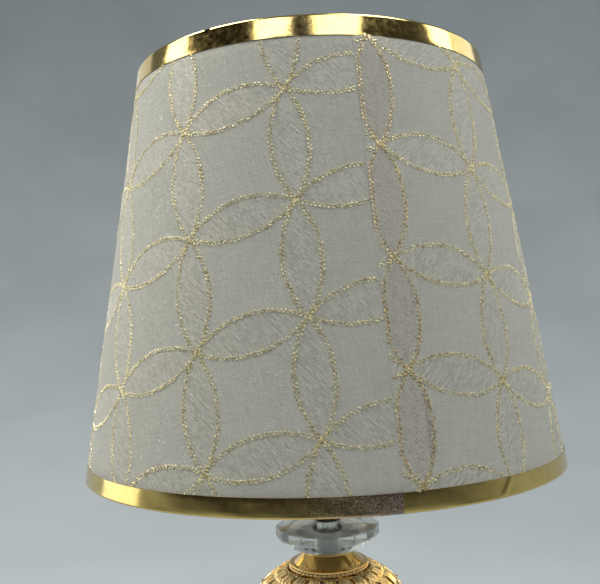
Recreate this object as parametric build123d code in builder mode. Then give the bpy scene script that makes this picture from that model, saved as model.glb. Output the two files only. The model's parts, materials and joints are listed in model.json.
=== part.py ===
from build123d import *
import os
from math import cos, degrees, hypot, pi, radians, sin, sqrt, tan

# Electric table lamp: a tapered cloth shade on a gold urn stem with a faceted crystal disc.
# Millimetres, +Z up, origin at the centre of the felt's underside, front towards -Y.

# Shade, from its outer surface inwards
shade_bottom_diameter = 250.0
shade_top_diameter = 185.0
shade_height = 208.0
top_trim_width = 10.0
bottom_trim_width = 8.0
trim_thickness = 0.25
trim_turn_in = 9.0
fabric_thickness = 0.5
liner_thickness = 0.5
hem_width = 16.0
panel_gap = 0.3
seam_angle = -77.1
ring_wire_diameter = 3.0
spoke_wire_diameter = 3.0
spoke_count = 3
first_spoke_angle = 90.0
fitter_thickness = 1.2
fitter_diameter = 68.0
fitter_rise = 4.0

# Lampholder and its two shade rings
cap_diameter = 43.0
cap_height = 24.0
cap_shoulder = 10.5
cap_wall = 1.8
skirt_thread_diameter = 39.5
skirt_wall = 4.2
skirt_height = 33.0
skirt_flange_diameter = 45.0
skirt_flange_height = 3.0
skirt_lip_height = 2.0
block_lower_height = 4.5
block_upper_height = 4.5
shell_wall = 0.4
shade_ring_diameter = 53.0
lower_ring_height = 5.0
upper_ring_height = 8.0
ring_edge_chamfer = 0.8
contact_width = 6.0
contact_reach = 10.0
contact_height = 4.0
contact_strip = 0.5
terminal_offset = 12.0
terminal_length = 8.0
terminal_width = 6.0
terminal_height = 5.0
terminal_screw_diameter = 3.0
terminal_head_diameter = 5.6
terminal_head_height = 2.0
terminal_screw_depth = 3.0

# Rotary switch in the lampholder
switch_length = 20.0
switch_width = 13.0
switch_height = 12.0
spindle_diameter = 4.0
spindle_inner_length = 8.0
rotor_diameter = 8.0
rotor_length = 5.0
knob_diameter = 9.6
knob_length = 12.0
knob_standoff = 1.5
knob_rounding = 1.5

# Candle-shaped bulb on an E27 cap
bulb_cap_diameter = 26.1
bulb_cap_height = 19.0
bulb_cap_wall = 0.35
bulb_button_diameter = 9.2
bulb_button_height = 1.2
bulb_insulator_height = 4.8
bulb_diameter = 35.0
bulb_neck_diameter = 24.6
bulb_neck_rise = 8.0
bulb_neck_engagement = 6.0
bulb_wall = 0.8
bulb_flare_radius = 18.0
bulb_flare_angle = 26.0
bulb_taper_angle = 38.0
bulb_tip_diameter = 6.0
stem_flange = 1.5
stem_height = 14.0
stem_top_diameter = 5.0
filament_length = 30.0
filament_diameter = 1.6
filament_circle = 11.0
filament_count = 4
filament_plate_diameter = 13.0
filament_plate = 0.8
filament_rod_diameter = 1.2

# Column between the foot and the lampholder
pipe_diameter = 10.0
pipe_bore = 7.8
pipe_cap_engagement = 5.5
top_collar_diameter = 15.0
top_collar_height = 3.8
washer_thickness = 0.5
washer_diameter = 15.0
crystal_sides = 12
crystal_foot_diameter = 17.0
crystal_foot_height = 1.7
crystal_tier_diameter = 42.0
crystal_tier_height = 4.2
crystal_step_height = 0.9
crystal_diameter = 56.0
crystal_rim_height = 5.1
crystal_top_diameter = 20.0
crystal_crown_height = 2.8
bell_top_diameter = 25.4
bell_bottom_diameter = 42.0
bell_height = 8.0
bell_rim = 1.2
bell_wall = 0.8
bell_hollow = 1.2
bead_ring_height = 1.7
bead_ring_diameter = 43.6
bead_ring_bore = 36.0
urn_diameter = 82.0
urn_wall = 1.2
dome_rise = 25.25
dome_land_diameter = 45.2
bowl_depth = 36.2
bowl_land_diameter = 35.0
band_height = 5.0
band_proud = 1.2
slot_count = 20
slot_rows = [(38.5, 4.5, 2.2), (54.0, 7.5, 3.0), (71.0, 8.5, 3.4)]
lower_bell_top_diameter = 34.0
lower_bell_bottom_diameter = 21.0
lower_bell_height = 6.0
foot_collar_diameter = 17.0
foot_collar_height = 4.0

# Foot
foot_diameter = 130.0
foot_height = 71.0
foot_wall = 1.2
foot_lift = 1.0
foot_rim_height = 12.0
foot_shoulder = 6.0
trumpet_radius = 44.0
trumpet_sweep = 80.0
felt_thickness = 1.5
felt_margin = 1.0
cover_thickness = 1.2
cover_screw_count = 3
cover_screw_diameter = 4.0
cover_screw_circle = 96.0
cover_screw_length = 8.0
nut_flats = 14.0
nut_height = 4.0
pipe_washer_diameter = 22.0
pipe_washer_thickness = 1.2
ballast_recess_diameter = 27.0
ballast_recess_depth = 11.0
cord_bore = 6.2
bush_diameter = 7.8
bush_flange_diameter = 9.4
bush_flange_thickness = 1.6
bush_height = 7.6
bush_lip = 2.0

# Clearances
glue_gap = 0.05
seat_gap = 0.05
thread_gap = 0.05
pipe_clearance = 0.25
ring_clearance = 0.35
shell_clearance = 0.3
turning_clearance = 0.3
cover_clearance = 0.8
panel_clearance = 0.3
bush_clearance = 0.2
weld_gap = 0.1

# Radii that several pieces share
pipe_radius = pipe_diameter / 2
pipe_hole = pipe_radius + pipe_clearance
skirt_radius = skirt_thread_diameter / 2
ring_bore = skirt_radius + ring_clearance
cap_inner_radius = cap_diameter / 2 - cap_wall
shell_inner_radius = bulb_cap_diameter / 2 + shell_clearance
shell_outer_radius = shell_inner_radius + shell_wall
skirt_inner_radius = skirt_radius - skirt_wall
foot_inner_radius = foot_diameter / 2 - foot_wall
cover_radius = foot_inner_radius - cover_clearance
urn_radius = urn_diameter / 2
slot_cut_depth = 4 * urn_wall
spindle_radius = spindle_diameter / 2

# Heights of the foot, from the table up
ballast_bottom = felt_thickness + cover_thickness
foot_rim_top = foot_lift + foot_rim_height
foot_shoulder_top = foot_rim_top + foot_shoulder
ballast_top = foot_shoulder_top - foot_wall - seat_gap
pipe_washer_top = ballast_bottom + ballast_recess_depth
nut_top = pipe_washer_top - pipe_washer_thickness
pipe_bottom = nut_top - nut_height - thread_gap

# Heights of the column, from the foot up
foot_collar_top = foot_height + foot_collar_height
bowl_land = foot_collar_top + lower_bell_height
urn_middle = bowl_land + bowl_depth * sqrt(1 - (bowl_land_diameter / urn_diameter) ** 2)
dome_land = urn_middle + dome_rise * sqrt(1 - (dome_land_diameter / urn_diameter) ** 2)
bead_ring_top = dome_land + bead_ring_height
bell_top = bead_ring_top + bell_height
crystal_bottom = bell_top + washer_thickness
crystal_tier_bottom = crystal_bottom + crystal_foot_height
crystal_tier_top = crystal_tier_bottom + crystal_tier_height
crystal_rim_bottom = crystal_tier_top + crystal_step_height
crystal_rim_top = crystal_rim_bottom + crystal_rim_height
crystal_top = crystal_rim_top + crystal_crown_height
top_collar_bottom = crystal_top + washer_thickness

# Heights of the lampholder, the bulb and the shade
cap_bottom = top_collar_bottom + top_collar_height
cap_top = cap_bottom + cap_height
pipe_top = cap_bottom + pipe_cap_engagement
block_bottom = cap_top - block_lower_height
block_top = cap_top + block_upper_height
flange_top = cap_top + skirt_flange_height
skirt_top = cap_top + skirt_height
fitter_bottom = flange_top + lower_ring_height
fitter_top = fitter_bottom + fitter_thickness
spindle_height = block_bottom - switch_height / 2
bulb_bottom = block_top + contact_height
insulator_bottom = bulb_bottom + bulb_button_height
bulb_cap_bottom = insulator_bottom + bulb_insulator_height
bulb_cap_top = bulb_cap_bottom + bulb_cap_height
bulb_neck_top = bulb_cap_top + bulb_neck_rise
shade_bottom = fitter_bottom - fitter_rise
shade_top = shade_bottom + shade_height

# Depths in the shade's wall, measured level from its outer surface
shade_slope = (shade_bottom_diameter - shade_top_diameter) / 2 / shade_height
fabric_outer = trim_thickness + glue_gap
fabric_inner = fabric_outer + fabric_thickness
liner_outer = fabric_inner + glue_gap
liner_inner = liner_outer + liner_thickness
ring_wire_radius = ring_wire_diameter / 2
wire_depth = liner_inner + (ring_wire_radius + glue_gap) * hypot(1, shade_slope)
trim_inner = wire_depth + (ring_wire_radius + glue_gap) * hypot(1, shade_slope) + trim_thickness
wire_lift = trim_thickness + glue_gap + ring_wire_radius


# Helpers for drawing


def shade_point(height, depth):
    """(radius, height) of a point in the shade's wall, depth inwards from its outer surface."""
    return shade_bottom_diameter / 2 - height * shade_slope - depth, shade_bottom + height


def half_plane(angle):
    """The upright plane through the lamp's axis whose local x points out at this angle from +X."""
    a = radians(angle)
    return Plane(origin=(0, 0, 0), x_dir=(cos(a), sin(a), 0), z_dir=(sin(a), -cos(a), 0))


def outline(*points, angle=0.0):
    """A closed outline of (radius, height) points in an upright half plane."""
    with BuildSketch(half_plane(angle)) as profile:
        with BuildLine():
            Polyline(*points, close=True)
        make_face()
    return profile.sketch


def ring(inner_radius, outer_radius, bottom, top):
    """The outline of a plain ring."""
    return outline((inner_radius, bottom), (outer_radius, bottom), (outer_radius, top), (inner_radius, top))


# Foot

with BuildPart() as felt_pad:
    with Locations((0, 0, felt_thickness / 2)):
        Cylinder(cover_radius - felt_margin, felt_thickness)
felt_pad.part.label = "felt_pad"

screw_head_radius = cover_screw_diameter / 2 + cover_thickness
with BuildPart() as base_cover:
    with Locations((0, 0, felt_thickness + cover_thickness / 2)):
        Cylinder(cover_radius, cover_thickness)
        with PolarLocations(cover_screw_circle / 2, cover_screw_count):
            Cone(
                screw_head_radius + thread_gap,
                cover_screw_diameter / 2 + thread_gap,
                cover_thickness,
                mode=Mode.SUBTRACT,
            )
base_cover.part.label = "base_cover"

with BuildPart() as cover_screws:
    with Locations((0, 0, felt_thickness)):
        with PolarLocations(cover_screw_circle / 2, cover_screw_count):
            Cone(
                screw_head_radius,
                cover_screw_diameter / 2,
                cover_thickness,
                align=(Align.CENTER, Align.CENTER, Align.MIN),
            )
            Cylinder(
                cover_screw_diameter / 2,
                cover_screw_length,
                align=(Align.CENTER, Align.CENTER, Align.MIN),
            )
cover_screws.part.label = "cover_screws"

ballast_radius = foot_inner_radius - cover_clearance
ballast_channel = bush_flange_diameter + 2 * bush_clearance
channel_height = bush_height + ballast_channel / 2 - ballast_bottom
with BuildPart() as ballast:
    revolve(
        outline(
            (pipe_hole, ballast_bottom),
            (ballast_radius, ballast_bottom),
            (ballast_radius, foot_rim_top),
            (foot_diameter / 2 - foot_shoulder, ballast_top),
            (pipe_hole, ballast_top),
        ),
        axis=Axis.Z,
    )
    with BuildSketch(Plane.XY.offset(ballast_bottom)):
        Circle(ballast_recess_diameter / 2)
    extrude(amount=ballast_recess_depth, mode=Mode.SUBTRACT)
    with BuildSketch(Plane.XY.offset(ballast_bottom)):
        Rectangle(ballast_channel, foot_diameter, align=(Align.CENTER, Align.MIN))
    extrude(amount=channel_height, mode=Mode.SUBTRACT)
    with BuildSketch(Plane.XY.offset(ballast_bottom)):
        with PolarLocations(cover_screw_circle / 2, cover_screw_count):
            Circle(cover_screw_diameter / 2 + thread_gap)
    extrude(amount=cover_screw_length, mode=Mode.SUBTRACT)
ballast.part.label = "ballast"

with BuildPart() as foot_shell:
    with BuildSketch(Plane.XZ):
        with BuildLine():
            rim = Line((foot_diameter / 2, foot_lift), (foot_diameter / 2, foot_rim_top))
            shoulder = JernArc(rim @ 1, (0, 1), foot_shoulder, 90)
            trumpet = JernArc(shoulder @ 1, (-1, 0), trumpet_radius, -trumpet_sweep)
            neck_rise = foot_height - (trumpet @ 1).Y
            neck_radius = (trumpet @ 1).X - neck_rise / tan(radians(trumpet_sweep))
            neck = Line(trumpet @ 1, (neck_radius, foot_height))
            Line(neck @ 1, (pipe_hole, foot_height))
            offset(amount=foot_wall, side=Side.LEFT)
        make_face()
    revolve(axis=Axis.Z)
    with BuildSketch(Plane.XZ):
        with Locations((0, bush_height)):
            Circle(bush_diameter / 2 + bush_clearance)
    extrude(amount=-foot_diameter, mode=Mode.SUBTRACT)
foot_shell.part.label = "foot_shell"

bush_lip_face = sqrt(foot_inner_radius**2 - (bush_flange_diameter / 2) ** 2) - bush_clearance
with BuildPart() as cord_bush:
    with BuildSketch(Plane.XY):
        with BuildLine():
            Polyline(
                (cord_bore / 2, bush_lip_face - bush_lip),
                (bush_flange_diameter / 2, bush_lip_face - bush_lip),
                (bush_flange_diameter / 2, bush_lip_face),
                (bush_diameter / 2, bush_lip_face),
                (bush_diameter / 2, foot_diameter / 2 + seat_gap),
                (bush_flange_diameter / 2, foot_diameter / 2 + seat_gap),
                (bush_flange_diameter / 2, foot_diameter / 2 + bush_flange_thickness),
                (cord_bore / 2, foot_diameter / 2 + bush_flange_thickness),
                close=True,
            )
        make_face()
    revolve(axis=Axis.Y)
cord_bush.part.position = (0, 0, bush_height)
cord_bush.part.label = "cord_bush"

with BuildPart() as pipe_washer:
    revolve(ring(pipe_hole, pipe_washer_diameter / 2, nut_top, pipe_washer_top), axis=Axis.Z)
pipe_washer.part.label = "pipe_washer"

with BuildPart() as pipe_nut:
    with BuildSketch(Plane.XY.offset(nut_top)):
        RegularPolygon(nut_flats / 2, 6, major_radius=False)
        Circle(pipe_radius + thread_gap, mode=Mode.SUBTRACT)
    extrude(amount=-nut_height)
pipe_nut.part.label = "pipe_nut"


# Column

with BuildPart() as lamp_pipe:
    revolve(ring(pipe_bore / 2, pipe_radius, pipe_bottom, pipe_top), axis=Axis.Z)
lamp_pipe.part.label = "lamp_pipe"

with BuildPart() as foot_collar:
    revolve(ring(pipe_hole, foot_collar_diameter / 2, foot_height, foot_collar_top), axis=Axis.Z)
foot_collar.part.label = "foot_collar"


def bell(label, foot_radius, foot_level, top_radius, top_level):
    """A spun bell: an upright rim at its foot, a hollow flare, and a flat top with the pipe's hole."""
    up = 1 if top_level > foot_level else -1
    middle = ((foot_radius + top_radius) / 2, (foot_level + top_level) / 2)
    flare_length = hypot(foot_radius - top_radius, top_level - foot_level)
    inwards = bell_hollow / 2 / flare_length
    bend = (
        middle[0] - inwards * abs(top_level - foot_level),
        middle[1] - up * inwards * (foot_radius - top_radius),
    )
    with BuildPart() as piece:
        with BuildSketch(Plane.XZ):
            with BuildLine():
                rim_line = Line((foot_radius, foot_level), (foot_radius, foot_level + up * bell_rim))
                flare_line = ThreePointArc(rim_line @ 1, bend, (top_radius, top_level))
                Line(flare_line @ 1, (pipe_hole, top_level))
                offset(amount=bell_wall, side=Side.LEFT if up > 0 else Side.RIGHT)
            make_face()
        revolve(axis=Axis.Z)
    piece.part.label = label
    return piece


lower_bell = bell(
    "lower_bell",
    lower_bell_top_diameter / 2,
    bowl_land,
    lower_bell_bottom_diameter / 2,
    foot_collar_top,
)
neck_bell = bell(
    "neck_bell",
    bell_bottom_diameter / 2,
    bead_ring_top,
    bell_top_diameter / 2,
    bell_top,
)


def urn_shell(label, half_height, land_radius, up):
    """Half of the urn: an elliptical shell from the middle band to a flat land, with rows of slots."""
    edge = band_height / 2
    inner_radius = urn_radius - urn_wall
    inner_half_height = half_height - urn_wall
    land = half_height * sqrt(1 - (land_radius / urn_radius) ** 2)
    inner_land = land - urn_wall
    outer_edge = urn_radius * sqrt(1 - (edge / half_height) ** 2)
    inner_edge = inner_radius * sqrt(1 - (edge / inner_half_height) ** 2)
    inner_land_radius = inner_radius * sqrt(1 - (inner_land / inner_half_height) ** 2)

    def spot(radius, rise):
        return radius, urn_middle + up * rise

    def bulge(radius, rise, start_radius, end_radius):
        middle_radius = (start_radius**2 + end_radius**2) ** 0.5 / sqrt(2)
        return spot(middle_radius, rise * sqrt(1 - (middle_radius / radius) ** 2))

    with BuildPart() as piece:
        with BuildSketch(Plane.XZ):
            with BuildLine():
                wall_out = Spline(
                    spot(outer_edge, edge),
                    bulge(urn_radius, half_height, outer_edge, land_radius),
                    spot(land_radius, land),
                )
                Polyline(
                    wall_out @ 1,
                    spot(pipe_hole, land),
                    spot(pipe_hole, inner_land),
                    spot(inner_land_radius, inner_land),
                )
                wall_in = Spline(
                    spot(inner_land_radius, inner_land),
                    bulge(inner_radius, inner_half_height, inner_edge, inner_land_radius),
                    spot(inner_edge, edge),
                )
                Line(wall_in @ 1, wall_out @ 0)
            make_face()
        revolve(axis=Axis.Z)
        for row, (polar, slot_length, slot_width) in enumerate(slot_rows):
            planes = []
            for step in range(slot_count):
                around = (step + (row + 1) / 2) * 360 / slot_count
                planes.append(slot_plane(half_height, up, polar, around))
            with BuildSketch(*planes):
                SlotOverall(slot_length, slot_width)
            extrude(amount=-slot_cut_depth, mode=Mode.SUBTRACT)
    piece.part.label = label
    return piece


def slot_plane(half_height, up, polar, around):
    """A plane on the urn's outer surface, its local x running down the wall."""
    tilt = radians(polar)
    turn = radians(around)
    radius = urn_radius * sin(tilt)
    out = Vector(cos(turn), sin(turn), 0)
    normal = out * (sin(tilt) / urn_radius) + Vector(0, 0, up * cos(tilt) / half_height)
    down = out * (urn_radius * cos(tilt)) - Vector(0, 0, up * half_height * sin(tilt))
    origin = out * radius + Vector(0, 0, urn_middle + up * half_height * cos(tilt))
    return Plane(origin=origin + normal.normalized() * urn_wall, x_dir=down, z_dir=normal)


urn_bowl = urn_shell("urn_bowl", bowl_depth, bowl_land_diameter / 2, -1)
urn_dome = urn_shell("urn_dome", dome_rise, dome_land_diameter / 2, 1)

with BuildPart() as urn_band:
    with BuildSketch(Plane.XZ):
        with BuildLine():
            band_inner = urn_radius - 2 * urn_wall
            lower = Line((band_inner, urn_middle - band_height / 2), (urn_radius, urn_middle - band_height / 2))
            bead = ThreePointArc(
                lower @ 1,
                (urn_radius + band_proud, urn_middle),
                (urn_radius, urn_middle + band_height / 2),
            )
            Polyline(bead @ 1, (band_inner, urn_middle + band_height / 2), lower @ 0)
        make_face()
    revolve(axis=Axis.Z)
urn_band.part.label = "urn_band"

with BuildPart() as bead_ring:
    revolve(ring(bead_ring_bore / 2, bead_ring_diameter / 2, dome_land, bead_ring_top), axis=Axis.Z)
bead_ring.part.label = "bead_ring"

with BuildPart() as crystal_washers:
    revolve(ring(pipe_hole, washer_diameter / 2, bell_top, crystal_bottom), axis=Axis.Z)
    revolve(ring(pipe_hole, washer_diameter / 2, crystal_top, top_collar_bottom), axis=Axis.Z)
crystal_washers.part.label = "crystal_washers"

crystal_levels = [
    (crystal_bottom, crystal_foot_diameter),
    (crystal_tier_bottom, crystal_tier_diameter),
    (crystal_tier_top, crystal_tier_diameter),
    (crystal_rim_bottom, crystal_diameter),
    (crystal_rim_top, crystal_diameter),
    (crystal_top, crystal_top_diameter),
]
with BuildPart() as crystal_disc:
    for level, diameter in crystal_levels:
        with BuildSketch(Plane.XY.offset(level)):
            RegularPolygon(diameter / 2, crystal_sides)
    loft(ruled=True)
    with BuildSketch(Plane.XY.offset(crystal_bottom)):
        Circle(pipe_hole)
    extrude(amount=crystal_top - crystal_bottom, mode=Mode.SUBTRACT)
crystal_disc.part.label = "crystal_disc"

with BuildPart() as top_collar:
    revolve(ring(pipe_hole, top_collar_diameter / 2, top_collar_bottom, cap_bottom), axis=Axis.Z)
top_collar.part.label = "top_collar"


# Lampholder

with BuildPart() as holder_cap:
    with BuildSketch(Plane.XZ):
        with BuildLine():
            entry = Line((pipe_radius + thread_gap, cap_bottom), (cap_diameter / 2 - cap_shoulder, cap_bottom))
            cap_round = JernArc(entry @ 1, (1, 0), cap_shoulder, 90)
            Line(cap_round @ 1, (cap_diameter / 2, cap_top))
            offset(amount=cap_wall, side=Side.LEFT)
        make_face()
    revolve(axis=Axis.Z)
    with BuildSketch(Plane.YZ):
        with Locations((0, spindle_height)):
            Circle(spindle_radius + turning_clearance)
    extrude(amount=cap_diameter, mode=Mode.SUBTRACT)
holder_cap.part.label = "holder_cap"

with BuildPart() as contact_block:
    revolve(
        outline(
            (0, block_bottom),
            (cap_inner_radius - turning_clearance, block_bottom),
            (cap_inner_radius - turning_clearance, cap_top),
            (skirt_inner_radius - turning_clearance, cap_top),
            (skirt_inner_radius - turning_clearance, block_top),
            (0, block_top),
        ),
        axis=Axis.Z,
    )
    with BuildSketch(Plane.XY.offset(block_bottom)):
        with Locations((0, terminal_offset), (0, -terminal_offset)):
            Circle(terminal_screw_diameter / 2 + thread_gap)
    extrude(amount=terminal_screw_depth, mode=Mode.SUBTRACT)
contact_block.part.label = "contact_block"

terminal_bottom = block_bottom - terminal_height
with BuildPart() as terminals:
    with BuildSketch(Plane.XY.offset(terminal_bottom)):
        with Locations((0, terminal_offset), (0, -terminal_offset)):
            Rectangle(terminal_length, terminal_width)
            Circle(terminal_screw_diameter / 2 + thread_gap, mode=Mode.SUBTRACT)
    extrude(amount=terminal_height)
terminals.part.label = "terminals"

with BuildPart() as terminal_screws:
    with BuildSketch(Plane.XY.offset(terminal_bottom)):
        with Locations((0, terminal_offset), (0, -terminal_offset)):
            Circle(terminal_head_diameter / 2)
    extrude(amount=-terminal_head_height)
    with BuildSketch(Plane.XY.offset(terminal_bottom)):
        with Locations((0, terminal_offset), (0, -terminal_offset)):
            Circle(terminal_screw_diameter / 2)
    extrude(amount=terminal_height + terminal_screw_depth)
terminal_screws.part.label = "terminal_screws"

with BuildPart() as holder_skirt:
    revolve(
        outline(
            (skirt_inner_radius, cap_top),
            (skirt_flange_diameter / 2, cap_top),
            (skirt_flange_diameter / 2, flange_top),
            (skirt_radius, flange_top),
            (skirt_radius, skirt_top),
            (shell_inner_radius + shell_clearance, skirt_top),
            (shell_inner_radius + shell_clearance, skirt_top - skirt_lip_height),
            (skirt_inner_radius, skirt_top - skirt_lip_height),
        ),
        axis=Axis.Z,
    )
holder_skirt.part.label = "holder_skirt"

with BuildPart() as screw_shell:
    revolve(
        ring(shell_inner_radius, shell_outer_radius, block_top, skirt_top - skirt_lip_height - seat_gap),
        axis=Axis.Z,
    )
screw_shell.part.label = "screw_shell"

contact_bend = contact_height / 2
with BuildPart() as centre_contact:
    with BuildSketch(Plane.XZ):
        with BuildLine():
            base = Line((-contact_reach, block_top), (contact_reach / 2, block_top))
            bend = JernArc(base @ 1, (1, 0), contact_bend, 180)
            Line(bend @ 1, (-contact_reach / 2, block_top + contact_height))
            offset(amount=contact_strip, side=Side.LEFT)
        make_face()
    extrude(amount=contact_width / 2, both=True)
centre_contact.part.label = "centre_contact"


def shade_ring(label, bottom, top):
    """A threaded ring that clamps the fitter plate on the lampholder's skirt."""
    with BuildPart() as piece:
        revolve(ring(ring_bore, shade_ring_diameter / 2, bottom, top), axis=Axis.Z)
        outer_edges = piece.edges().filter_by(GeomType.CIRCLE).sort_by(SortBy.RADIUS)[-2:]
        chamfer(outer_edges, ring_edge_chamfer)
    piece.part.label = label
    return piece


lower_shade_ring = shade_ring("lower_shade_ring", flange_top, fitter_bottom)
upper_shade_ring = shade_ring("upper_shade_ring", fitter_top, fitter_top + upper_ring_height)


# Rotary switch

with BuildPart() as switch_housing:
    with BuildSketch(Plane.XY.offset(block_bottom)):
        Rectangle(switch_length, switch_width)
    extrude(amount=-switch_height)
    with BuildSketch(Plane.YZ.offset(switch_length / 2)):
        with Locations((0, spindle_height)):
            Circle(spindle_radius + turning_clearance)
    extrude(amount=-switch_length / 2, mode=Mode.SUBTRACT)
    with BuildSketch(Plane.YZ.offset(-rotor_length / 2 - turning_clearance)):
        with Locations((0, spindle_height)):
            Circle(rotor_diameter / 2 + turning_clearance)
    extrude(amount=rotor_length + 2 * turning_clearance, mode=Mode.SUBTRACT)
switch_housing.part.label = "switch_housing"

knob_inner = cap_diameter / 2 + knob_standoff
with BuildPart() as switch_spindle:
    with BuildSketch(Plane.YZ.offset(-rotor_length / 2)):
        with Locations((0, spindle_height)):
            Circle(rotor_diameter / 2)
    extrude(amount=rotor_length)
    with BuildSketch(Plane.YZ):
        with Locations((0, spindle_height)):
            Circle(spindle_radius)
    extrude(amount=knob_inner + spindle_inner_length)
switch_spindle.part.label = "switch_spindle"

with BuildPart() as switch_knob:
    with BuildSketch(Plane.YZ.offset(knob_inner)):
        with Locations((0, spindle_height)):
            Circle(knob_diameter / 2)
    extrude(amount=knob_length)
    fillet(switch_knob.faces().sort_by(Axis.X)[-1].edges(), knob_rounding)
    with BuildSketch(Plane.YZ.offset(knob_inner)):
        with Locations((0, spindle_height)):
            Circle(spindle_radius + thread_gap)
    extrude(amount=spindle_inner_length, mode=Mode.SUBTRACT)
switch_knob.part.label = "switch_knob"


# Bulb

bulb_cap_radius = bulb_cap_diameter / 2
with BuildPart() as bulb_contact:
    with Locations((0, 0, bulb_bottom + bulb_button_height / 2)):
        Cylinder(bulb_button_diameter / 2, bulb_button_height)
bulb_contact.part.label = "bulb_contact"

with BuildPart() as bulb_insulator:
    with Locations((0, 0, insulator_bottom + bulb_insulator_height / 2)):
        Cone(bulb_button_diameter / 2, bulb_cap_radius - bulb_cap_wall, bulb_insulator_height)
bulb_insulator.part.label = "bulb_insulator"

with BuildPart() as bulb_cap:
    revolve(
        ring(bulb_cap_radius - bulb_cap_wall, bulb_cap_radius, bulb_cap_bottom, bulb_cap_top),
        axis=Axis.Z,
    )
bulb_cap.part.label = "bulb_cap"

bulb_neck_radius = bulb_neck_diameter / 2
bulb_tip_start = bulb_tip_diameter / 2
flare_end_radius = bulb_neck_radius + bulb_flare_radius * (1 - cos(radians(bulb_flare_angle)))
belly_radius = (bulb_diameter / 2 - flare_end_radius) / (1 - cos(radians(bulb_flare_angle)))
taper_tangent = tan(radians(bulb_taper_angle))
bulb_neck_bottom = bulb_cap_top - bulb_neck_engagement
with BuildPart() as bulb_glass:
    with BuildSketch(Plane.XZ):
        with BuildLine():
            glass_neck = Line((bulb_neck_radius, bulb_neck_bottom), (bulb_neck_radius, bulb_neck_top))
            flare = JernArc(glass_neck @ 1, (0, 1), bulb_flare_radius, -bulb_flare_angle)
            belly = JernArc(flare @ 1, flare % 1, belly_radius, bulb_flare_angle + bulb_taper_angle)
            taper_rise = ((belly @ 1).X - bulb_tip_start) / taper_tangent
            taper = Line(belly @ 1, (bulb_tip_start, (belly @ 1).Y + taper_rise))
            tip_radius = bulb_tip_start / cos(radians(bulb_taper_angle))
            JernArc(taper @ 1, taper % 1, tip_radius, 90 - bulb_taper_angle)
            offset(amount=bulb_wall, side=Side.LEFT)
        make_face()
    revolve(axis=Axis.Z)
bulb_glass.part.label = "bulb_glass"

stem_bottom = bulb_neck_bottom
stem_top = bulb_neck_top + stem_height - bulb_neck_rise
with BuildPart() as bulb_stem:
    revolve(
        outline(
            (0, stem_bottom),
            (bulb_neck_radius - bulb_wall - glue_gap, stem_bottom),
            (bulb_neck_radius - bulb_wall - glue_gap, stem_bottom + stem_flange),
            (stem_top_diameter / 2, bulb_neck_top),
            (stem_top_diameter / 2, stem_top),
            (0, stem_top),
        ),
        axis=Axis.Z,
    )
bulb_stem.part.label = "bulb_stem"

filament_bottom = stem_top + filament_plate
filament_top = filament_bottom + filament_length
with BuildPart() as filament_mount:
    with BuildSketch(Plane.XY.offset(stem_top)):
        Circle(filament_plate_diameter / 2)
    extrude(amount=filament_plate)
    with BuildSketch(Plane.XY.offset(filament_top)):
        Circle(filament_plate_diameter / 2)
    extrude(amount=filament_plate)
    with BuildSketch(Plane.XY.offset(filament_bottom)):
        Circle(filament_rod_diameter / 2)
    extrude(amount=filament_length)
filament_mount.part.label = "filament_mount"

with BuildPart() as filament_sticks:
    with BuildSketch(Plane.XY.offset(filament_bottom)):
        with PolarLocations(filament_circle / 2, filament_count):
            Circle(filament_diameter / 2)
    extrude(amount=filament_length)
filament_sticks.part.label = "filament_sticks"


# Shade

edge_cover = trim_thickness + glue_gap
cloth_bottom = edge_cover
cloth_top = shade_height - edge_cover


def wall_outline(bottom, top, outer_depth, inner_depth, angle):
    """The section of one layer of the shade's wall between two heights and two depths."""
    return outline(
        shade_point(bottom, outer_depth),
        shade_point(top, outer_depth),
        shade_point(top, inner_depth),
        shade_point(bottom, inner_depth),
        angle=angle,
    )


def fabric_panel(label, start_angle):
    """Half of the shade's cloth, with the doubled hem along its starting edge."""
    gap_angle = degrees(panel_gap / (shade_bottom_diameter / 2))
    mean_radius = (shade_bottom_diameter + shade_top_diameter) / 4
    hem_angle = degrees(hem_width / mean_radius)
    hem_bottom = bottom_trim_width + panel_clearance
    hem_top = shade_height - top_trim_width - panel_clearance
    with BuildPart() as piece:
        revolve(
            wall_outline(cloth_bottom, cloth_top, fabric_outer, fabric_inner, start_angle),
            axis=Axis.Z,
            revolution_arc=180 - gap_angle,
        )
        revolve(
            wall_outline(hem_bottom, hem_top, 0, fabric_inner, start_angle),
            axis=Axis.Z,
            revolution_arc=hem_angle,
        )
    piece.part.label = label
    return piece


right_panel = fabric_panel("right_fabric_panel", seam_angle)
left_panel = fabric_panel("left_fabric_panel", seam_angle + 180)

with BuildPart() as shade_liner:
    revolve(wall_outline(cloth_bottom, cloth_top, liner_outer, liner_inner, 0), axis=Axis.Z)
shade_liner.part.label = "shade_liner"


def wire_ring(label, height):
    """A wire ring against the liner's inside."""
    radius, level = shade_point(height, wire_depth)
    with BuildPart() as piece:
        with BuildSketch(Plane.XZ):
            with Locations((radius, level)):
                Circle(ring_wire_radius)
        revolve(axis=Axis.Z)
    piece.part.label = label
    return piece


bottom_ring = wire_ring("bottom_ring", wire_lift)
top_ring = wire_ring("top_ring", shade_height - wire_lift)


# Spokes from the fitter plate to the bottom ring

spoke_radius = spoke_wire_diameter / 2
spoke_start = (shade_ring_diameter / 2 + turning_clearance, fitter_bottom - spoke_radius - weld_gap)
spoke_end_radius, spoke_end_height = shade_point(wire_lift, wire_depth + ring_wire_radius + weld_gap)
spoke_length = hypot(spoke_end_radius - spoke_start[0], spoke_end_height - spoke_start[1])


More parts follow.
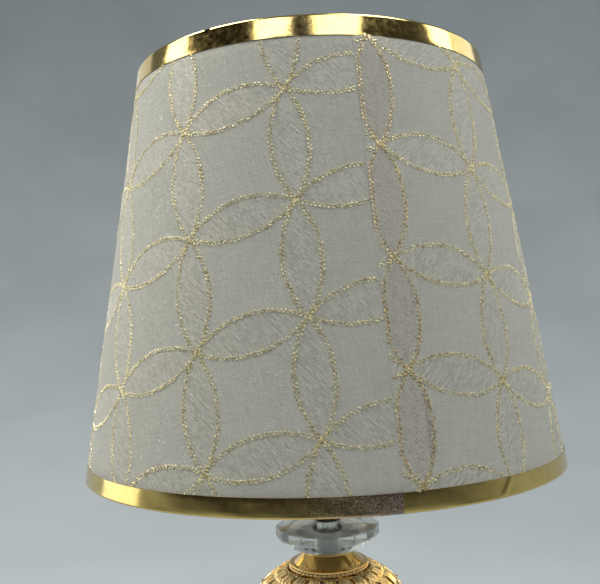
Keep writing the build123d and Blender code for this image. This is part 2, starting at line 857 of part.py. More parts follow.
def spoke_plane(angle):
    """A plane at the spoke's inner end, facing along the spoke."""
    a = radians(angle)
    out = Vector(cos(a), sin(a), 0)
    along = out * (spoke_end_radius - spoke_start[0]) + Vector(0, 0, spoke_end_height - spoke_start[1])
    return Plane(origin=out * spoke_start[0] + Vector(0, 0, spoke_start[1]), z_dir=along)


def spoke(label, angle):
    """A straight wire spoke."""
    with BuildPart() as piece:
        with BuildSketch(spoke_plane(angle)):
            Circle(spoke_radius)
        extrude(amount=spoke_length)
    piece.part.label = label
    return piece


spoke_angles = [first_spoke_angle + step * 360 / spoke_count for step in range(spoke_count)]
spokes = [spoke(f"fitter_spoke_{index + 1}", angle) for index, angle in enumerate(spoke_angles)]

with BuildPart() as fitter_plate:
    revolve(ring(ring_bore, fitter_diameter / 2, fitter_bottom, fitter_top), axis=Axis.Z)
fitter_plate.part.label = "fitter_plate"


def trim(label, width, edge_height, up, notch_angles):
    """A foil band: an outer leg, a turn under the shade's edge and round the wire, and a leg on the liner."""
    wire_height = 2 * wire_lift
    inside = liner_inner + glue_gap + trim_thickness
    slant_end = wire_height + trim_inner - inside
    mitre = trim_thickness * tan(pi / 8)
    wall_points = [
        (width, 0),
        (0, 0),
        (0, trim_inner),
        (wire_height, trim_inner),
        (slant_end, inside),
        (slant_end + trim_turn_in, inside),
        (slant_end + trim_turn_in, inside - trim_thickness),
        (slant_end - mitre, inside - trim_thickness),
        (wire_height - mitre, trim_inner - trim_thickness),
        (trim_thickness, trim_inner - trim_thickness),
        (trim_thickness, trim_thickness),
        (width, trim_thickness),
    ]
    corners = [shade_point(edge_height + up * height, depth) for height, depth in wall_points]
    with BuildPart() as piece:
        revolve(outline(*corners), axis=Axis.Z)
        for notch_angle in notch_angles:
            with BuildSketch(spoke_plane(notch_angle)):
                Circle(spoke_radius + turning_clearance)
            extrude(amount=spoke_length, mode=Mode.SUBTRACT)
    piece.part.label = label
    return piece


bottom_trim = trim("bottom_trim", bottom_trim_width, 0, 1, spoke_angles)
top_trim = trim("top_trim", top_trim_width, shade_height, -1, [])

pieces = [
    felt_pad,
    base_cover,
    cover_screws,
    ballast,
    foot_shell,
    cord_bush,
    pipe_washer,
    pipe_nut,
    lamp_pipe,
    foot_collar,
    lower_bell,
    urn_bowl,
    urn_band,
    urn_dome,
    bead_ring,
    neck_bell,
    crystal_washers,
    crystal_disc,
    top_collar,
    holder_cap,
    contact_block,
    terminals,
    terminal_screws,
    holder_skirt,
    screw_shell,
    centre_contact,
    lower_shade_ring,
    upper_shade_ring,
    switch_housing,
    switch_spindle,
    switch_knob,
    bulb_contact,
    bulb_insulator,
    bulb_cap,
    bulb_glass,
    bulb_stem,
    filament_mount,
    filament_sticks,
    right_panel,
    left_panel,
    shade_liner,
    bottom_ring,
    top_ring,
    fitter_plate,
    bottom_trim,
    top_trim,
    *spokes,
]

os.makedirs("parts", exist_ok=True)
for piece in pieces:
    export_step(piece.part, f"parts/{piece.part.label}.step")

print(f"shade bottom {shade_bottom:.2f}, shade top {shade_top:.2f}, urn middle {urn_middle:.2f}")
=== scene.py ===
import json
from math import acos, asin, atan2, cos, exp, hypot, pi, radians, sin, sqrt
from random import Random

import bmesh
import bpy
from mathutils import Matrix, Vector


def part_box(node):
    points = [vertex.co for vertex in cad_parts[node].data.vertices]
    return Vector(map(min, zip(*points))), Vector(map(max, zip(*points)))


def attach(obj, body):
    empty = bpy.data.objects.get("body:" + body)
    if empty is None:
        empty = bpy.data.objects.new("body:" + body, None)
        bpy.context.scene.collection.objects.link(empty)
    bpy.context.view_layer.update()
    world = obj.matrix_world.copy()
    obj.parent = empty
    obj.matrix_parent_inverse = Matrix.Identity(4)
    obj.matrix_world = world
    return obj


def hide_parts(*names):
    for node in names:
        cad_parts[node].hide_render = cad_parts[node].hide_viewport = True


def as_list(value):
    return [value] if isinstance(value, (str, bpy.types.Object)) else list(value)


# Table lamp with a tapered cloth shade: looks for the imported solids.
# Lengths are millimetres and become metres where a mesh is made. Azimuths run to the right from the front.

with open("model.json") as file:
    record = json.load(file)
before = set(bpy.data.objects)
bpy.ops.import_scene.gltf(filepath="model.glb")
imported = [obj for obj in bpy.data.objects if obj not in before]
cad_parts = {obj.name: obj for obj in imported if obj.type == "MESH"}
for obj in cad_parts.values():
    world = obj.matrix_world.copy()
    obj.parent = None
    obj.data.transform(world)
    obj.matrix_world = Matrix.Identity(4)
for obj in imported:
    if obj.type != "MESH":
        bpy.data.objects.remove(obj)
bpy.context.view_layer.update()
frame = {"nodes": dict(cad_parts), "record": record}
nodes = frame["nodes"]

MM = 0.001

# Shade
SHADE_BOTTOM = 192.0
SHADE_HEIGHT = 208.0
BOTTOM_RADIUS = 125.0
TOP_RADIUS = 92.5
SEAM_AZIMUTH = radians(12.9)
SEAM_SKEW = 4.4
CLOTH_LIFT = -0.3
CLOTH_THICKNESS = 0.45
CLOTH_RIPPLE = 0.05
WARP_PITCH = 0.52
WEFT_PITCH = 0.46
EDGE_COVER = 0.3
HEM_WIDTH = 16.0
HEM_EDGE = 0.8
PANEL_UNDERLAP = 0.8
TOP_TRIM = 10.0
BOTTOM_TRIM = 8.0
TRIM_THICKNESS = 0.25
TRIM_PRESS = 0.5
SLOW_WAVE = 0.10
QUICK_WAVE = 0.035
PLEAT_HEIGHT = 0.32
PLEAT_WIDTH = 1.1

# Stitched petals. Each panel has a lattice on the flat cloth: a node (right of the front, down from the top
# edge), the step of a row and of a column, and how much closer a column's nodes come down the shade.
RIGHT_LATTICE = ((32.6, 108.4), (49.2, 3.8), (3.0, 47.7), 1.5)
LEFT_LATTICE = ((-56.5, 94.9), (49.1, -11.6), (3.4, 49.5), 0.5)
LATTICE_REACH = 9
PETAL_HALF_WIDTH = 8.3
STITCH_PITCH = 1.8
STITCH_LENGTH = 1.75
STITCH_WIDTH = 1.0
STITCH_HEIGHT = 0.34
STITCH_SINK = 0.06
STITCH_ROW = 0.52
STITCH_SLANT = radians(32)
STITCH_ASTRAY = 0.16
STITCH_TURN = 0.4
HEM_STITCH_EDGE = 1.4
HATCH_PITCH = 1.05
HATCH_WIDTH = 0.62
HATCH_HEIGHT = 0.07
HATCH_SINK = 0.04
HATCH_RUN = 2.2
HATCH_SKIP = 0.5
HATCH_SHORTEST = 0.8

# Column; a row of slots is its tilt from the urn's pole in degrees, and a slot's length and width.
URN_RADIUS = 41.0
URN_MIDDLE = 113.74
URN_WALL = 1.1
DOME_RISE = 25.25
DOME_LAND_RADIUS = 22.6
BOWL_DEPTH = 36.2
BOWL_LAND_RADIUS = 17.5
BAND_HEIGHT = 5.0
BAND_PROUD = 1.2
BAND_WALL = 2.4
ROPE_STRANDS = 72
ROPE_DEPTH = 0.45
PIPE_HOLE = 5.25
PIN_HOLE = 0.02
SLOT_COUNT = 20
SLOT_ROWS = ((38.5, 4.0, 1.2), (54.0, 7.0, 2.6), (71.0, 8.5, 3.4))
ROW_EDGES = (30.0, 46.0, 62.5, 79.5)
CELL_RUNS = 24
CELL_SIDE_RUNS = 14
CELL_RIBS = 3
RIB_HEIGHT = 0.95
BELL_RADIUS = 21.0
BELL_TAPER = 8.3
BELL_RIM = 1.2
BELL_RISE = 6.8
BELL_WALL = 0.8
BEAD_COUNT = 56
BEAD_CIRCLE = 20.6
BEAD_RADIUS = 0.9
BEAD_HOLE = 18.0
COLLAR_RADIUS = 7.5
NECK_CIRCLE = 7.6
NECK_ROUND = 2.0
CUP_BASE_RADIUS = 10.5
CUP_RADIUS = 17.0
CUP_RISE = 4.8

# Foot; its flank is an arc that sweeps up from the rim to the throat.
FOOT_RADIUS = 65.0
FOOT_WALL = 1.2
RIM_LEVEL = 13.0
RIM_ROUND = 6.0
SWEEP_RADIUS = 44.0
SWEEP_LEVEL = 63.0
THROAT_RADIUS = 12.9
GADROON_COUNT = 40
GADROON_HEIGHT = 1.1
CORD_HOLE_RADIUS = 4.1
FELT_FUZZ = 0.15

# Crystal: the level and radius of each tier's edge.
CRYSTAL_SIDES = 12
CRYSTAL_TIERS = ((0.0, 8.5), (1.7, 21.0), (5.9, 21.0), (6.8, 28.0), (11.9, 28.0), (14.7, 10.0))
CRYSTAL_GROUND = 0.28

# Lampholder; a thread is its crest, root and bore radius, and its pitch.
FLANGE_RADIUS = 22.5
FLANGE_HEIGHT = 3.0
FLANGE_EDGE = 0.3
SKIRT_SHOULDER = 19.6
SKIRT_THREAD = (19.7, 19.0, 15.55, 2.5)
CAP_THREAD = (13.05, 12.2, 11.9, 3.6)
RING_HOLE = 20.1
RING_RADIUS = 26.5
RING_FLUTES = 36
FLUTE_DEPTH = 0.55
KNOB_RADIUS = 4.8
KNOB_END_RADIUS = 4.4
KNOB_HOLE = 2.05
KNOB_DEPTH = 8.0
KNOB_RIBS = 18
KNOB_RIB_DEPTH = 0.35

# Studio
FLOOR_RADIUS = 800.0
WALL_ROUND = 1300.0
WALL_TOP = 2600.0
LAMP_AIM = 350.0

# Derived sizes of the shade's cone
SHADE_TOP = SHADE_BOTTOM + SHADE_HEIGHT
SLANT = hypot(BOTTOM_RADIUS - TOP_RADIUS, SHADE_HEIGHT)
LEAN_SINE = (BOTTOM_RADIUS - TOP_RADIUS) / SLANT
LEAN_COSINE = SHADE_HEIGHT / SLANT
APEX = TOP_RADIUS / LEAN_SINE


# Meshes


def put(name, data):
    """A new object in the scene."""
    made = bpy.data.objects.new(name, data)
    bpy.context.scene.collection.objects.link(made)
    return made


def new_mesh(name, points, faces):
    """A mesh from points in millimetres."""
    mesh = bpy.data.meshes.new(name)
    mesh.from_pydata([(x * MM, y * MM, z * MM) for x, y, z in points], [], faces)
    return mesh


def face_out(mesh, join=0.0):
    """Turns faces to the outside, after joining points this close in metres."""
    work = bmesh.new()
    work.from_mesh(mesh)
    if join:
        bmesh.ops.remove_doubles(work, verts=work.verts, dist=join)
    bmesh.ops.recalc_face_normals(work, faces=work.faces)
    work.to_mesh(mesh)
    work.free()


def add_piece(name, points, faces, body, slot, replaces=(), crease=40.0, stuff=None):
    """A piece from points in millimetres, riding on a body; its slot names its material, or stuff is one."""
    mesh = new_mesh(name, points, faces)
    face_out(mesh)
    mesh.shade_smooth()
    mesh.set_sharp_from_angle(angle=radians(crease))
    mesh.materials.append(stuff or materials[slot])
    piece = put(name, mesh)
    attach(piece, body)
    if replaces:
        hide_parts(*replaces)
    return piece


def add_skin(points, faces, sections):
    """Adds closed outlines to a mesh, each joined to the next."""
    size = len(sections[0])
    begin = len(points)
    points.extend(point for section in sections for point in section)
    for here in range(begin, len(points) - size, size):
        for i in range(size):
            j = (i + 1) % size
            faces.append((here + i, here + j, here + size + j, here + size + i))


def loft(sections, closed_path):
    """Points and faces of a skin over closed outlines; an open path gets capped ends."""
    points = []
    faces = []
    add_skin(points, faces, sections)
    size = len(sections[0])
    last = len(points) - size
    if closed_path:
        for i in range(size):
            j = (i + 1) % size
            faces.append((last + i, last + j, j, i))
    else:
        faces.append(tuple(range(size)))
        faces.append(tuple(range(last, last + size)))
    return points, faces


def turned(profile_at, steps):
    """Points and faces of a closed (radius, height) outline turned about the axis."""
    sections = []
    for step in range(steps):
        angle = 2 * pi * step / steps
        sections.append([(r * cos(angle), r * sin(angle), z) for r, z in profile_at(angle)])
    return loft(sections, True)


def rounded(corners, radius, bends=3):
    """A closed outline with its corners rounded off."""
    outline = []
    for index, corner in enumerate(corners):
        here = Vector(corner)
        before = Vector(corners[index - 1]) - here
        after = Vector(corners[(index + 1) % len(corners)]) - here
        start = here + before.normalized() * min(radius, before.length / 2.2)
        end = here + after.normalized() * min(radius, after.length / 2.2)
        for bend in range(bends + 1):
            t = bend / bends
            outline.append(tuple(start * (1 - t) ** 2 + here * 2 * t * (1 - t) + end * t * t))
    return outline


def arc(centre, radius, start, end, steps):
    """Points of a circular arc between two angles in degrees."""
    angles = [radians(start + (end - start) * step / steps) for step in range(steps + 1)]
    return [(centre[0] + radius * cos(a), centre[1] + radius * sin(a)) for a in angles]


def smooth(value, low, high):
    """0 below low, 1 above high and an even blend between."""
    t = min(1.0, max(0.0, (value - low) / (high - low)))
    return t * t * (3 - 2 * t)


def wall_point(azimuth, slant, lift):
    """A point of the shade's wall: slant down from the top edge, lift outwards."""
    radius = TOP_RADIUS + slant * LEAN_SINE + lift * LEAN_COSINE
    height = SHADE_TOP - slant * LEAN_COSINE + lift * LEAN_SINE
    return radius * sin(azimuth), -radius * cos(azimuth), height


def flat_to_wall(spot):
    """Azimuth and slant of a spot of the flat cloth, x from the front and y down from the cone's apex."""
    return atan2(spot.x, spot.y) / LEAN_SINE, hypot(spot.x, spot.y) - APEX


def flat_point(spot, lift):
    """A spot of the flat cloth wrapped on the shade's wall."""
    return wall_point(*flat_to_wall(spot), lift)


# Materials


def feed(tree, socket, value):
    """Links a socket or sets its value."""
    if isinstance(value, bpy.types.NodeSocket):
        tree.links.new(value, socket)
    else:
        socket.default_value = value


def node(tree, kind, inputs, **settings):
    """A new shader node with its inputs fed."""
    made = tree.nodes.new("ShaderNode" + kind)
    for name, value in settings.items():
        setattr(made, name, value)
    for socket, value in inputs.items():
        feed(tree, made.inputs[socket], value)
    return made


def start(name, constants):
    """A new material and its tree, with constants on the shader's own sockets."""
    material = bpy.data.materials.new(name)
    material.use_nodes = True
    for socket, value in constants.items():
        material.node_tree.nodes["Principled BSDF"].inputs[socket].default_value = value
    return material, material.node_tree


def dress(material, colour, rough, normal=None):
    """Feeds the main sockets of a material's shader and hands the material on."""
    tree = material.node_tree
    for socket, value in (("Base Color", colour), ("Roughness", rough), ("Normal", normal)):
        if value is not None:
            feed(tree, tree.nodes["Principled BSDF"].inputs[socket], value)
    return material


def ramp(tree, factor, *stops):
    """A colour ramp through (place, colour) stops."""
    made = node(tree, "ValToRGB", {"Fac": factor})
    elements = made.color_ramp.elements
    elements.remove(elements[1])
    elements[0].position = stops[0][0]
    elements[0].color = (*stops[0][1], 1.0)
    for place, colour in stops[1:]:
        elements.new(place).color = (*colour, 1.0)
    return made.outputs["Color"]


def between(tree, value, low, high, start=0.0, end=1.0):
    """A value mapped from start..end to low..high."""
    inputs = {"Value": value, "From Min": start, "From Max": end, "To Min": low, "To Max": high}
    return node(tree, "MapRange", inputs).outputs["Result"]


def maths(tree, operation, first, second=0.0):
    """One arithmetic step."""
    return node(tree, "Math", {0: first, 1: second}, operation=operation).outputs["Value"]


def noise(tree, where, scale, detail=4.0, roughness=0.55):
    """Noise at a number of features in a metre."""
    inputs = {"Vector": where, "Scale": scale, "Detail": detail, "Roughness": roughness}
    return node(tree, "TexNoise", inputs).outputs["Fac"]


def place(tree, stretch=(1.0, 1.0, 1.0)):
    """The surface's own place in metres, stretched."""
    where = node(tree, "TexCoord", {}).outputs["Object"]
    return node(tree, "Mapping", {"Vector": where, "Scale": stretch}).outputs["Vector"]


def bump(tree, height, distance, strength=1.0):
    """A relief of this depth in metres."""
    inputs = {"Height": height, "Distance": distance, "Strength": strength}
    return node(tree, "Bump", inputs).outputs["Normal"]


def tilted_cells(tree, cells, amount):
    """The surface's normal, tilted at random in each cell of a cell texture."""
    spread = node(tree, "VectorMath", {0: cells.outputs["Color"], 1: (0.5, 0.5, 0.5)}, operation="SUBTRACT")
    scaled = node(tree, "VectorMath", {0: spread.outputs["Vector"], "Scale": amount}, operation="SCALE")
    normal = node(tree, "NewGeometry", {}).outputs["Normal"]
    added = node(tree, "VectorMath", {0: scaled.outputs["Vector"], 1: normal}, operation="ADD")
    return node(tree, "VectorMath", {0: added.outputs["Vector"]}, operation="NORMALIZE").outputs["Vector"]


def grained(name, dark, light, grain, rough, relief, metal=0.0, stretch=(1.0, 1.0, 1.0)):
    """A plain stuff: its grains to the millimetre, its range of gloss and its relief in millimetres."""
    material, tree = start(name, {"Metallic": metal})
    scale = grain / MM
    fine = noise(tree, place(tree, stretch), scale)
    cloudy = noise(tree, place(tree), scale / 25, 3.0)
    colour = ramp(tree, fine, (0.3, dark), (0.72, light))
    return dress(material, colour, between(tree, cloudy, *rough, 0.3, 0.7), bump(tree, fine, relief * MM))


def cloth_material():
    """Fine woven cloth with sparse glints; the mesh carries each point's place on the threads."""
    material, tree = start("shade_cloth", {"Sheen Weight": 0.12, "Sheen Roughness": 0.4})
    threads = node(tree, "Attribute", {}, attribute_name="grain").outputs["Vector"]
    split = node(tree, "SeparateXYZ", {"Vector": threads})
    warp = maths(tree, "SINE", maths(tree, "MULTIPLY", split.outputs["X"], 2 * pi / WARP_PITCH))
    weft = maths(tree, "SINE", maths(tree, "MULTIPLY", split.outputs["Y"], 2 * pi / WEFT_PITCH))
    weave = maths(tree, "MULTIPLY", warp, weft)
    slubs = []
    for stretch in ((1.3, 0.1, 1.0), (0.12, 1.5, 1.0)):
        along = node(tree, "Mapping", {"Vector": threads, "Scale": stretch}).outputs["Vector"]
        slubs.append(noise(tree, along, 1.0, 3.0))
    streak = maths(tree, "ADD", *slubs)
    tone = maths(tree, "ADD", maths(tree, "MULTIPLY", weave, 0.14), maths(tree, "MULTIPLY", streak, 0.5))
    dark, middle, light = (0.365, 0.355, 0.30), (0.44, 0.43, 0.37), (0.51, 0.50, 0.44)
    colour = ramp(tree, tone, (0.2, dark), (0.5, middle), (0.8, light))
    cells = node(tree, "TexVoronoi", {"Vector": threads, "Scale": 1.7}, voronoi_dimensions="2D")
    luck = node(tree, "SeparateColor", {"Color": cells.outputs["Color"]}).outputs["Red"]
    chosen = maths(tree, "GREATER_THAN", luck, 0.7)
    glint = maths(tree, "MULTIPLY", chosen, maths(tree, "LESS_THAN", cells.outputs["Distance"], 0.3))
    relief = bump(tree, weave, 0.00006, 0.6)
    facing = node(tree, "Mix", {0: glint, 4: relief, 5: tilted_cells(tree, cells, 1.2)}, data_type="VECTOR")
    return dress(material, colour, between(tree, glint, 0.85, 0.16), facing.outputs[1])


def thread_material(name, dark, light, rough, metal):
    """Metallised thread; each stitch has a tone of its own and a fine twist."""
    material, tree = start(name, {"Metallic": metal})
    each = node(tree, "NewGeometry", {}).outputs["Random Per Island"]
    twist = noise(tree, place(tree, (1.0, 1.0, 3.0)), 2600.0, 2.0)
    blend = maths(tree, "ADD", maths(tree, "MULTIPLY", each, 0.55), maths(tree, "MULTIPLY", twist, 0.45))
    colour = ramp(tree, blend, (0.22, dark), (0.7, light))
    return dress(material, colour, between(tree, twist, *rough), bump(tree, twist, 0.00015, 0.6))


def foil_material():
    """Crinkled gold foil; the mesh says where its finish has gone to glitter."""
    material, tree = start("gold_foil", {"Metallic": 1.0})
    where = place(tree)
    crinkle = noise(tree, where, 120.0, 3.0)
    cells = node(tree, "TexVoronoi", {"Vector": where, "Scale": 4200.0})
    tone = ramp(tree, crinkle, (0.3, (0.64, 0.47, 0.15)), (0.7, (0.74, 0.56, 0.20)))
    facing = bump(tree, crinkle, 0.00012, 0.4)
    worn = node(tree, "Attribute", {}, attribute_name="glitter").outputs["Fac"]
    luck = node(tree, "SeparateColor", {"Color": cells.outputs["Color"]}).outputs["Red"]
    speck = maths(tree, "MULTIPLY", worn, maths(tree, "GREATER_THAN", luck, 0.5))
    mixed = node(tree, "Mix", {0: speck, 4: facing, 5: tilted_cells(tree, cells, 0.4)}, data_type="VECTOR")
    faded = node(tree, "Mix", {0: worn, 6: tone, 7: (0.50, 0.37, 0.28, 1.0)}, data_type="RGBA").outputs[2]
    gloss = between(tree, noise(tree, where, 420.0), 0.08, 0.18, 0.3, 0.7)
    return dress(material, faded, gloss, mixed.outputs[1])


def gold_material(name, dark, light, rough, hollow_shade_depth):
    """Gold plate between two tones, with painted shade: hollows are darkened by their ambient occlusion over
    this depth in metres.
    """
    material, tree = start(name, {"Metallic": 1.0})
    where = place(tree)
    plate = ramp(tree, noise(tree, where, 60.0, 4.0), (0.3, dark), (0.7, light))
    hollow = node(tree, "AmbientOcclusion", {"Distance": hollow_shade_depth}, samples=8).outputs["AO"]
    # Painted shade: the plate is darkened where the ambient occlusion of its hollows is deep.
    worn = ramp(tree, hollow, (0.15, (0.10, 0.055, 0.018)), (0.6, (1.0, 1.0, 1.0)))
    colour = node(tree, "Mix", {0: 1.0, 6: plate, 7: worn}, data_type="RGBA", blend_type="MULTIPLY")
    gloss = between(tree, noise(tree, where, 240.0), *rough, 0.3, 0.7)
    return dress(material, colour.outputs[2], gloss, bump(tree, noise(tree, where, 320.0, 2.0), 0.00004, 0.4))


def clear_material(name, colour, ior, haze, clearness=1.0):
    """Clear glass with faint drawing lines and finger haze."""
    material, tree = start(name, {"Transmission Weight": clearness, "IOR": ior})
    cloudy = noise(tree, place(tree), 110.0, 4.0)
    lines = noise(tree, place(tree, (1.0, 1.0, 0.2)), 90.0, 2.0)
    gloss = between(tree, cloudy, 0.0, haze, 0.45, 0.8)
    return dress(material, (*colour, 1.0), gloss, bump(tree, lines, 0.00005, 0.15))


def felt_material():
    """Pressed felt: matted fibres."""
    material, tree = start("felt", {"Sheen Weight": 0.4, "Sheen Roughness": 0.5})
    fibre = noise(tree, place(tree, (1.0, 3.0, 1.0)), 1500.0, 6.0, 0.7)
    colour = ramp(tree, fibre, (0.3, (0.010, 0.028, 0.014)), (0.7, (0.035, 0.075, 0.04)))
    return dress(material, colour, between(tree, fibre, 0.85, 1.0), bump(tree, fibre, 0.0005))


materials = {
    "gold": gold_material("gold_plate", (0.84, 0.53, 0.17), (0.93, 0.64, 0.25), (0.07, 0.16), 0.004),
    "crystal": clear_material("cut_crystal", (0.93, 0.965, 0.94), 1.46, 0.3, 0.8),
    "clear_plastic": clear_material("clear_plastic", (0.9, 0.92, 0.91), 1.46, 0.25),
    "fabric": cloth_material(),
    "gold_foil": foil_material(),
    "felt": felt_material(),
    "bulb_glass": clear_material("bulb_glass", (0.99, 0.99, 0.98), 1.45, 0.015),
}
# Plain stuffs by slot: dark and light tone, grain, gloss, relief, and for some metal and the grain's stretch.
DRAWN = (1.0, 1.0, 6.0)
for settings in (
    ("dark_bronze", (0.045, 0.03, 0.016), (0.11, 0.075, 0.04), 0.9, (0.25, 0.45), 0.03, 1.0),
    ("liner", (0.70, 0.68, 0.62), (0.80, 0.79, 0.74), 2.4, (0.45, 0.6), 0.04, 0.0, (1.0, 1.0, 0.25)),
    ("white_wire", (0.72, 0.72, 0.69), (0.82, 0.82, 0.80), 3.0, (0.35, 0.5), 0.06),
    ("black_plastic", (0.012, 0.012, 0.012), (0.032, 0.031, 0.03), 2.2, (0.28, 0.45), 0.04),
    ("porcelain", (0.70, 0.68, 0.62), (0.82, 0.80, 0.75), 1.4, (0.3, 0.55), 0.05),
    ("brass", (0.55, 0.37, 0.12), (0.74, 0.54, 0.23), 0.9, (0.22, 0.42), 0.03, 1.0, DRAWN),
    ("steel", (0.33, 0.34, 0.32), (0.50, 0.51, 0.485), 0.7, (0.4, 0.58), 0.03, 1.0, (1.0, 1.0, 5.0)),
    ("iron", (0.035, 0.034, 0.033), (0.10, 0.095, 0.09), 0.8, (0.6, 0.85), 0.4, 0.6),
    ("painted_steel", (0.018, 0.018, 0.018), (0.04, 0.04, 0.04), 1.8, (0.35, 0.5), 0.05),
    ("bush_rubber", (0.012, 0.012, 0.012), (0.035, 0.034, 0.033), 2.6, (0.6, 0.8), 0.1),
    ("cap_metal", (0.55, 0.55, 0.53), (0.78, 0.78, 0.76), 0.8, (0.2, 0.38), 0.03, 1.0, DRAWN),
    ("black_glass", (0.008, 0.008, 0.010), (0.02, 0.02, 0.024), 0.6, (0.08, 0.2), 0.02),
    ("filament", (0.62, 0.40, 0.05), (0.85, 0.62, 0.13), 2.6, (0.5, 0.7), 0.08),
):
    materials[settings[0]] = grained(*settings)
pierced_gold = gold_material("pierced_gold", (0.93, 0.66, 0.29), (1.0, 0.80, 0.45), (0.12, 0.24), 0.0012)
# Threads of the outlines, the hatching and the same two in the hem.
threads = [
    thread_material("stitch_gold", (0.33, 0.26, 0.11), (1.0, 0.90, 0.53), (0.2, 0.4), 0.5),
    thread_material("hatch_gold", (0.31, 0.295, 0.235), (0.58, 0.56, 0.46), (0.3, 0.55), 0.25),
    thread_material("hem_gold", (0.26, 0.18, 0.065), (0.90, 0.72, 0.38), (0.22, 0.42), 0.5),
    thread_material("hem_hatch", (0.29, 0.24, 0.19), (0.43, 0.375, 0.315), (0.4, 0.65), 0.1),
]

for part in frame["record"]["subparts"]:
    node_materials = nodes[part["node"]].data.materials
    node_materials.clear()
    node_materials.append(materials[part["material_slot"]])


# Shade: cloth panels


def cloth_lift(from_seam, slant):
    """How far the cloth stands out, this far from its panel's seam: a fold, a doubled hem, then flat."""
    fold = smooth(from_seam, -0.2, 0.7)
    hem = 1 - smooth(from_seam, HEM_WIDTH - HEM_EDGE, HEM_WIDTH + HEM_EDGE)
    ripple = CLOTH_RIPPLE * sin(from_seam / 9.0 + slant / 31.0) * sin(slant / 17.0)
    clear_of_trims = min(slant - TOP_TRIM, SLANT - BOTTOM_TRIM - slant)
    pressed = TRIM_PRESS * (1 - smooth(clear_of_trims, -1.5, 0.5))
    return CLOTH_LIFT - 0.3 * (1 - fold) - CLOTH_LIFT * hem + ripple * (1 - hem) - pressed


def seam_shift(slant):
    """How far right of a straight seam the cloth's edge runs, since the panels sit askew."""
    return SEAM_SKEW * (slant / SLANT - 0.45)


def seam_distance(azimuth, slant, seam):
    """The way round the wall from a seam, in millimetres."""
    return (azimuth - seam) * (TOP_RADIUS + slant * LEAN_SINE) - seam_shift(slant)


def cloth_panel(name, seam, lattice, node_name):
    """Half of the shade's cloth, half way round from its seam, with each point's place on the threads."""
    rows = 40
    columns = 150
    inner = CLOTH_LIFT - CLOTH_THICKNESS - 0.5
    mean_radius = (TOP_RADIUS + BOTTOM_RADIUS) / 2
    fine = [0.0, 0.2, 0.45, 0.8, 2.0, 6.0, 11.0]
    fine += [HEM_WIDTH + step for step in (-1.0, -0.4, 0.1, 0.6, 1.2)]
    reach = pi * mean_radius + PANEL_UNDERLAP
    rest = [fine[-1] + (reach - fine[-1]) * step / columns for step in range(1, columns + 1)]
    steps_to_trim = (-1.5, -0.5, 0.5)
    top_slants = [EDGE_COVER] + [TOP_TRIM + step for step in steps_to_trim]
    bottom_slants = [SLANT - EDGE_COVER] + [SLANT - BOTTOM_TRIM - step for step in steps_to_trim]
    open_cloth = bottom_slants[-1] - top_slants[-1]
    slants = top_slants + [top_slants[-1] + open_cloth * row / rows for row in range(1, rows)]
    slants += reversed(bottom_slants)
    origin, row_step, column_step = lattice[:3]
    row_way = Vector(row_step).normalized()
    column_way = Vector(column_step).normalized()
    sections = []
    grain = []
    for distance in fine + rest:
        outside = []
        for slant in slants:
            askew = seam_shift(slant) / (TOP_RADIUS + slant * LEAN_SINE)
            azimuth = seam + distance / mean_radius + askew
            lift = cloth_lift(seam_distance(azimuth, slant, seam), slant)
            outside.append((azimuth, slant, lift))
        inside = [(azimuth, slant, inner) for azimuth, slant, lift in reversed(outside)]
        sections.append([wall_point(*spot) for spot in outside + inside])
        for azimuth, slant, lift in outside + inside:
            turn = azimuth * LEAN_SINE
            flat = Vector(((APEX + slant) * sin(turn), (APEX + slant) * cos(turn)))
            offset = flat - Vector((origin[0], origin[1] + APEX))
            grain.extend((offset.dot(row_way), offset.dot(column_way), lift))
    points, faces = loft(sections, False)
    panel = add_piece(name, points, faces, "shade", "fabric", [node_name])
    panel.data.attributes.new("grain", "FLOAT_VECTOR", "POINT").data.foreach_set("vector", grain)
    return panel


# Shade: stitched petals


def petal_arcs(first, second):
    """The two circles, as (centre, radius), whose arcs bound a petal between two lattice nodes."""
    chord = second - first
    half = chord.length / 2
    radius = (half * half + PETAL_HALF_WIDTH**2) / (2 * PETAL_HALF_WIDTH)
    side = Vector((-chord.y, chord.x)).normalized() * (radius - PETAL_HALF_WIDTH)
    middle = (first + second) / 2
    return (middle + side, radius), (middle - side, radius)


def on_cloth(spot, seam):
    """The cloth's lift at a flat spot, or None outside its panel or behind a trim."""
    azimuth, slant = flat_to_wall(spot)
    from_seam = seam_distance(azimuth, slant, seam)
    to_end = -seam_distance(azimuth, slant, seam + pi)
    if not TOP_TRIM - 0.6 < slant < SLANT - BOTTOM_TRIM + 0.6:
        return None
    if from_seam < 0.7 or to_end < 0.4:
        return None
    return cloth_lift(from_seam, slant)


def add_stitch(points, faces, spot, heading, lift, size):
    """One half-round stitch: two rings of points and a crown."""
    sides = 5
    begin = len(points)
    along = Vector((cos(heading), sin(heading))) * STITCH_LENGTH / 2 * size
    across = Vector((-sin(heading), cos(heading))) * STITCH_WIDTH / 2 * size
    for share, rise in ((1.0, -STITCH_SINK), (0.72, STITCH_HEIGHT * 0.75)):
        for side in range(sides):
            turn = 2 * pi * side / sides
            corner = spot + (along * cos(turn) + across * sin(turn)) * share
            points.append(flat_point(corner, lift + rise * size))
    points.append(flat_point(spot, lift + STITCH_HEIGHT * size))
    crown = begin + 2 * sides
    for side in range(sides):
        after = (side + 1) % sides
        faces.append((begin + side, begin + after, begin + sides + after, begin + sides + side))
        faces.append((begin + sides + side, begin + sides + after, crown))


